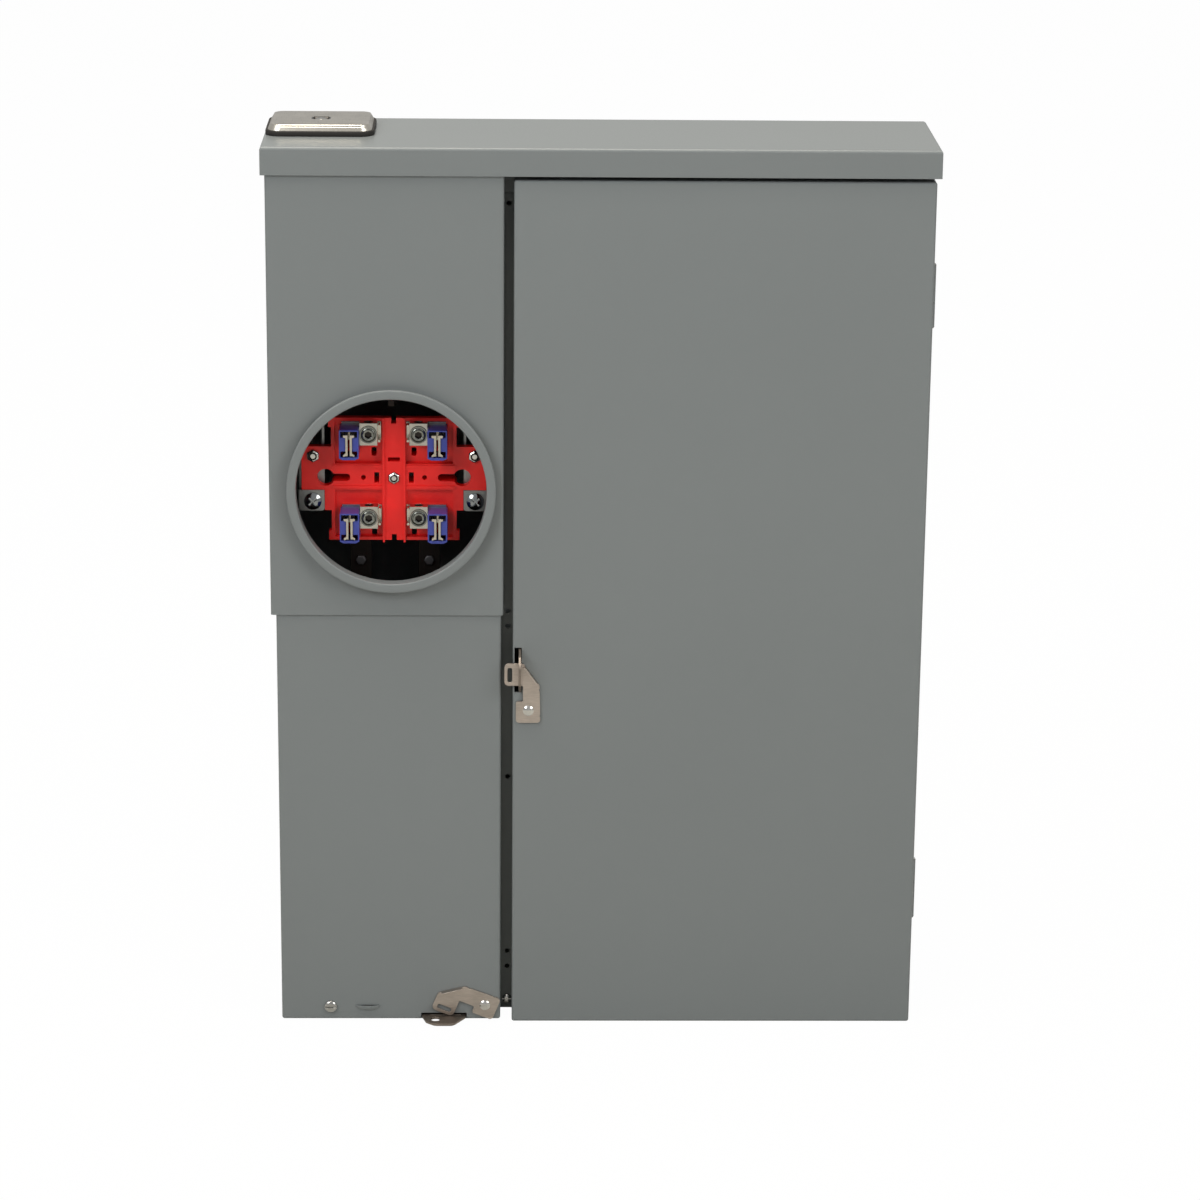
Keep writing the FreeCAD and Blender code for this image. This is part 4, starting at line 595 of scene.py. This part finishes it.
def in_groove(at):
    """Whether points, in millimetres, lie in the groove of the nearest block screw."""
    across, up = np.abs(at[:, 0] - centre_x), at[:, 2] - centre_z
    away = np.minimum(np.hypot(across - wing_dx, up - wing_dz), np.hypot(across, up - middle_dz))
    return (away > groove_in) & (away < groove_out) & (at[:, 1] < -block_f)


accent(block_screws, recess_painted_shade_steel, in_groove)
fitted(block_screws, "zinc", "block_screws")

# ---- Jaws and guides
# Each jaw is folded from tinned copper strip, with two leaves that flare to lead a blade in. A
# guide of blue nylon sits round it.
tinned_copper = rolled_metal("tinned_copper_strip", "#CCC5B8", gloss=0.22, grain=0.0008, depth=0.00004,
                             streak=(1.0, 1.0, 0.2))
blue_nylon = moulding("blue_moulded_nylon", "#3A4699", gloss=0.36, grain=0.0009, depth=0.00004)
corners = ("upper_left", "upper_right", "lower_left", "lower_right")
softened(tinned_copper, thin_edge, *["jaw_" + corner for corner in corners])
softened(blue_nylon, cut_edge, *["jaw_guide_" + corner for corner in corners])

# ---- Lugs
# Sawn from tin-plated aluminium bar and bored for the wires, each with a broad set screw that
# has a raised rim round its hex socket, whose inside is painted near-black as shade.
plated_aluminium = rolled_metal("tin_plated_aluminium", "#BFBCB3", gloss=0.20, grain=0.0006, depth=0.00005,
                                streak=(1.0, 1.0, 0.25))
softened(plated_aluminium, moulded_edge, *["lug_" + corner for corner in corners])


def set_screw(x, z, seat_f):
    """Patch of one set screw: circles for the disc, the rim and the shank, and a hexagon for the
    socket, whose radius at each angle is its half width over the cosine to the nearest flat."""
    angle = np.linspace(0, 2 * np.pi, 48, endpoint=False)
    hexagon = 2.9 / np.cos((angle + np.pi / 6) % (np.pi / 3) - np.pi / 6)
    ring = np.ones_like(angle)
    radii = np.stack([0 * ring, hexagon, hexagon, 4.2 * ring, 4.6 * ring, 4.8 * ring, 5.0 * ring, 5.7 * ring,
                      6.4 * ring, 7.3 * ring, 7.5 * ring, 7.5 * ring, 5.0 * ring, 5.0 * ring, 0 * ring])
    high = np.array([-0.7, -0.7, 2.6, 3.0, 2.9, 2.5, 0.9, 0.6, 1.5, 1.6, 1.3, 0.0, 0.0, -1.4, -1.4])
    plan = np.stack([x + radii * np.cos(angle), z + radii * np.sin(angle)], axis=-1)
    return [(forward(plan, seat_f + high[:, None]), True)]


lug_dx, lug_dz, lug_up, lug_f, socket_out = 21.2, 36.5, 5.5, 119.8, 3.3
set_screws = []
for sx in (-1, 1):
    for sz in (-1, 1):
        set_screws += set_screw(centre_x + lug_dx * sx, centre_z + lug_dz * sz + lug_up, lug_f)
turned_steel = rolled_metal("turned_grey_steel", "#8F918B", gloss=0.24, grain=0.0007, depth=0.00004)
lug_screws = surface("lug_set_screws_turned", set_screws, turned_steel)
# The sockets get the near-black steel: painted shade.
accent(lug_screws, recess_painted_shade_steel, lambda at: np.hypot(
    np.abs(at[:, 0] - centre_x) - lug_dx, np.abs(at[:, 2] - centre_z - lug_up) - lug_dz) < socket_out)
fitted(lug_screws, "bare_aluminium", "lug_set_screws")

# ---- Support legs
# Pressed from grey zinc-coated steel: each stands on the back and takes the block's wing, with a
# large cross-head screw in its lower tab.
leg_steel = rolled_metal("pressed_zinc_coated_steel", "#8E908F", gloss=0.40, grain=0.0014, depth=0.00005,
                         streak=(1.0, 1.0, 0.3))
softened(leg_steel, moulded_edge, "socket_leg_left", "socket_leg_right")
# The leg screws' steel is darkened so that their glossy heads show dark reflections: painted reflection.
leg_screw_painted_reflection_steel = rolled_metal("polished_steel_darkened_as_painted_reflection", "#94989A", gloss=0.12, grain=0.0012, depth=0.00002)
leg_dx, leg_z = 69.2, centre_z - 19.6
leg_screws = []
for sx in (-1, 1):
    leg_screws += head((centre_x + leg_dx * sx, block_f, leg_z), radius=7.4, rise=3.8, shank_r=2.6,
                       shank_to=16.0, drive="cross", turn=0.75)
fitted(surface("leg_screws_headed", leg_screws, leg_screw_painted_reflection_steel), "zinc", "leg_screws")

# ---- Load straps and bonding strip
# Flat copper straps, painted near-black as shade, run from the lower jaws down to the breaker
# and are held by dull steel bolts. A small copper spring strip at the top of the ring bonds the
# meter's base; it is painted as dark as the straps, also as shade.
# Near-black copper for the straps and the bonding strip: painted shade.
strap_painted_shade_copper = rolled_metal("copper_strap_darkened_as_painted_shade", "#2B2522", gloss=0.48, grain=0.0012, depth=0.00005,
                            streak=(1.0, 1.0, 0.2), metallic=0.8)
softened(strap_painted_shade_copper, moulded_edge, "load_strap_left", "load_strap_right")
dull_steel = rolled_metal("dulled_spring_steel", "#6D6B6D", gloss=0.45, grain=0.0012, depth=0.00004)
softened(dull_steel, cut_edge, "strap_bolts")
softened(strap_painted_shade_copper, cut_edge, "bonding_strip")


# ---- Breaker panel
# Behind the door: the enamelled dead front with its blanks, and under it the pan and rails of
# galvanised steel, the black bus base, tinned bus bars and the screw bars for the wires.
def galvanised(name):
    """Hot-dip zinc coat: cold grey crystals about 7 mm across, each with its own tone and gloss."""
    material, tree, place = blank(name)
    spangle = add(tree, "ShaderNodeTexVoronoi", {"Vector": place, "Scale": 140.0})
    grey = add(tree, "ShaderNodeRGBToBW", {"Color": spangle.outputs["Color"]})
    tone = add(tree, "ShaderNodeMix", {0: grey.outputs[0], 6: linear("#A4A8A8"), 7: linear("#C2C6C5")},
               data_type="RGBA")
    rough = add(tree, "ShaderNodeMapRange", {"Value": grey.outputs[0], "To Min": 0.34, "To Max": 0.52})
    skin = add(tree, "ShaderNodeBsdfPrincipled", {"Base Color": tone.outputs[2], "Metallic": 1.0,
                                                  "Roughness": rough.outputs[0]})
    add(tree, "ShaderNodeOutputMaterial", {"Surface": skin.outputs[0]})
    return material


softened(grey_enamel, cut_edge, "dead_front")
softened(galvanised("galvanised_steel"), cut_edge, "panel_rail_top", "panel_rail_bottom", "interior_pan")
black_phenolic = moulding("black_moulded_phenolic", "#17171A", gloss=0.45, grain=0.001, depth=0.00005)
softened(black_phenolic, case_edge, "bus_base", "main_breaker", "main_handle")
softened(plated_aluminium, cut_edge, "bus_bar_left", "bus_bar_right", "neutral_bar_left", "neutral_bar_right",
         "ground_bar")
softened(zinc, 0.0, "terminal_screws")
panel_screws = []
trim_left, trim_right, trim_high, trim_low = -30.0, 233.6, 333.4, -354.4
for x in (trim_left, trim_right):
    for z in (trim_high, trim_low):
        panel_screws += head((x, post_f, z), radius=4.6, rise=2.4, shank_r=2.2, shank_to=8.0)
fitted(surface("dead_front_screws_headed", panel_screws, zinc), "zinc", "dead_front_screws")
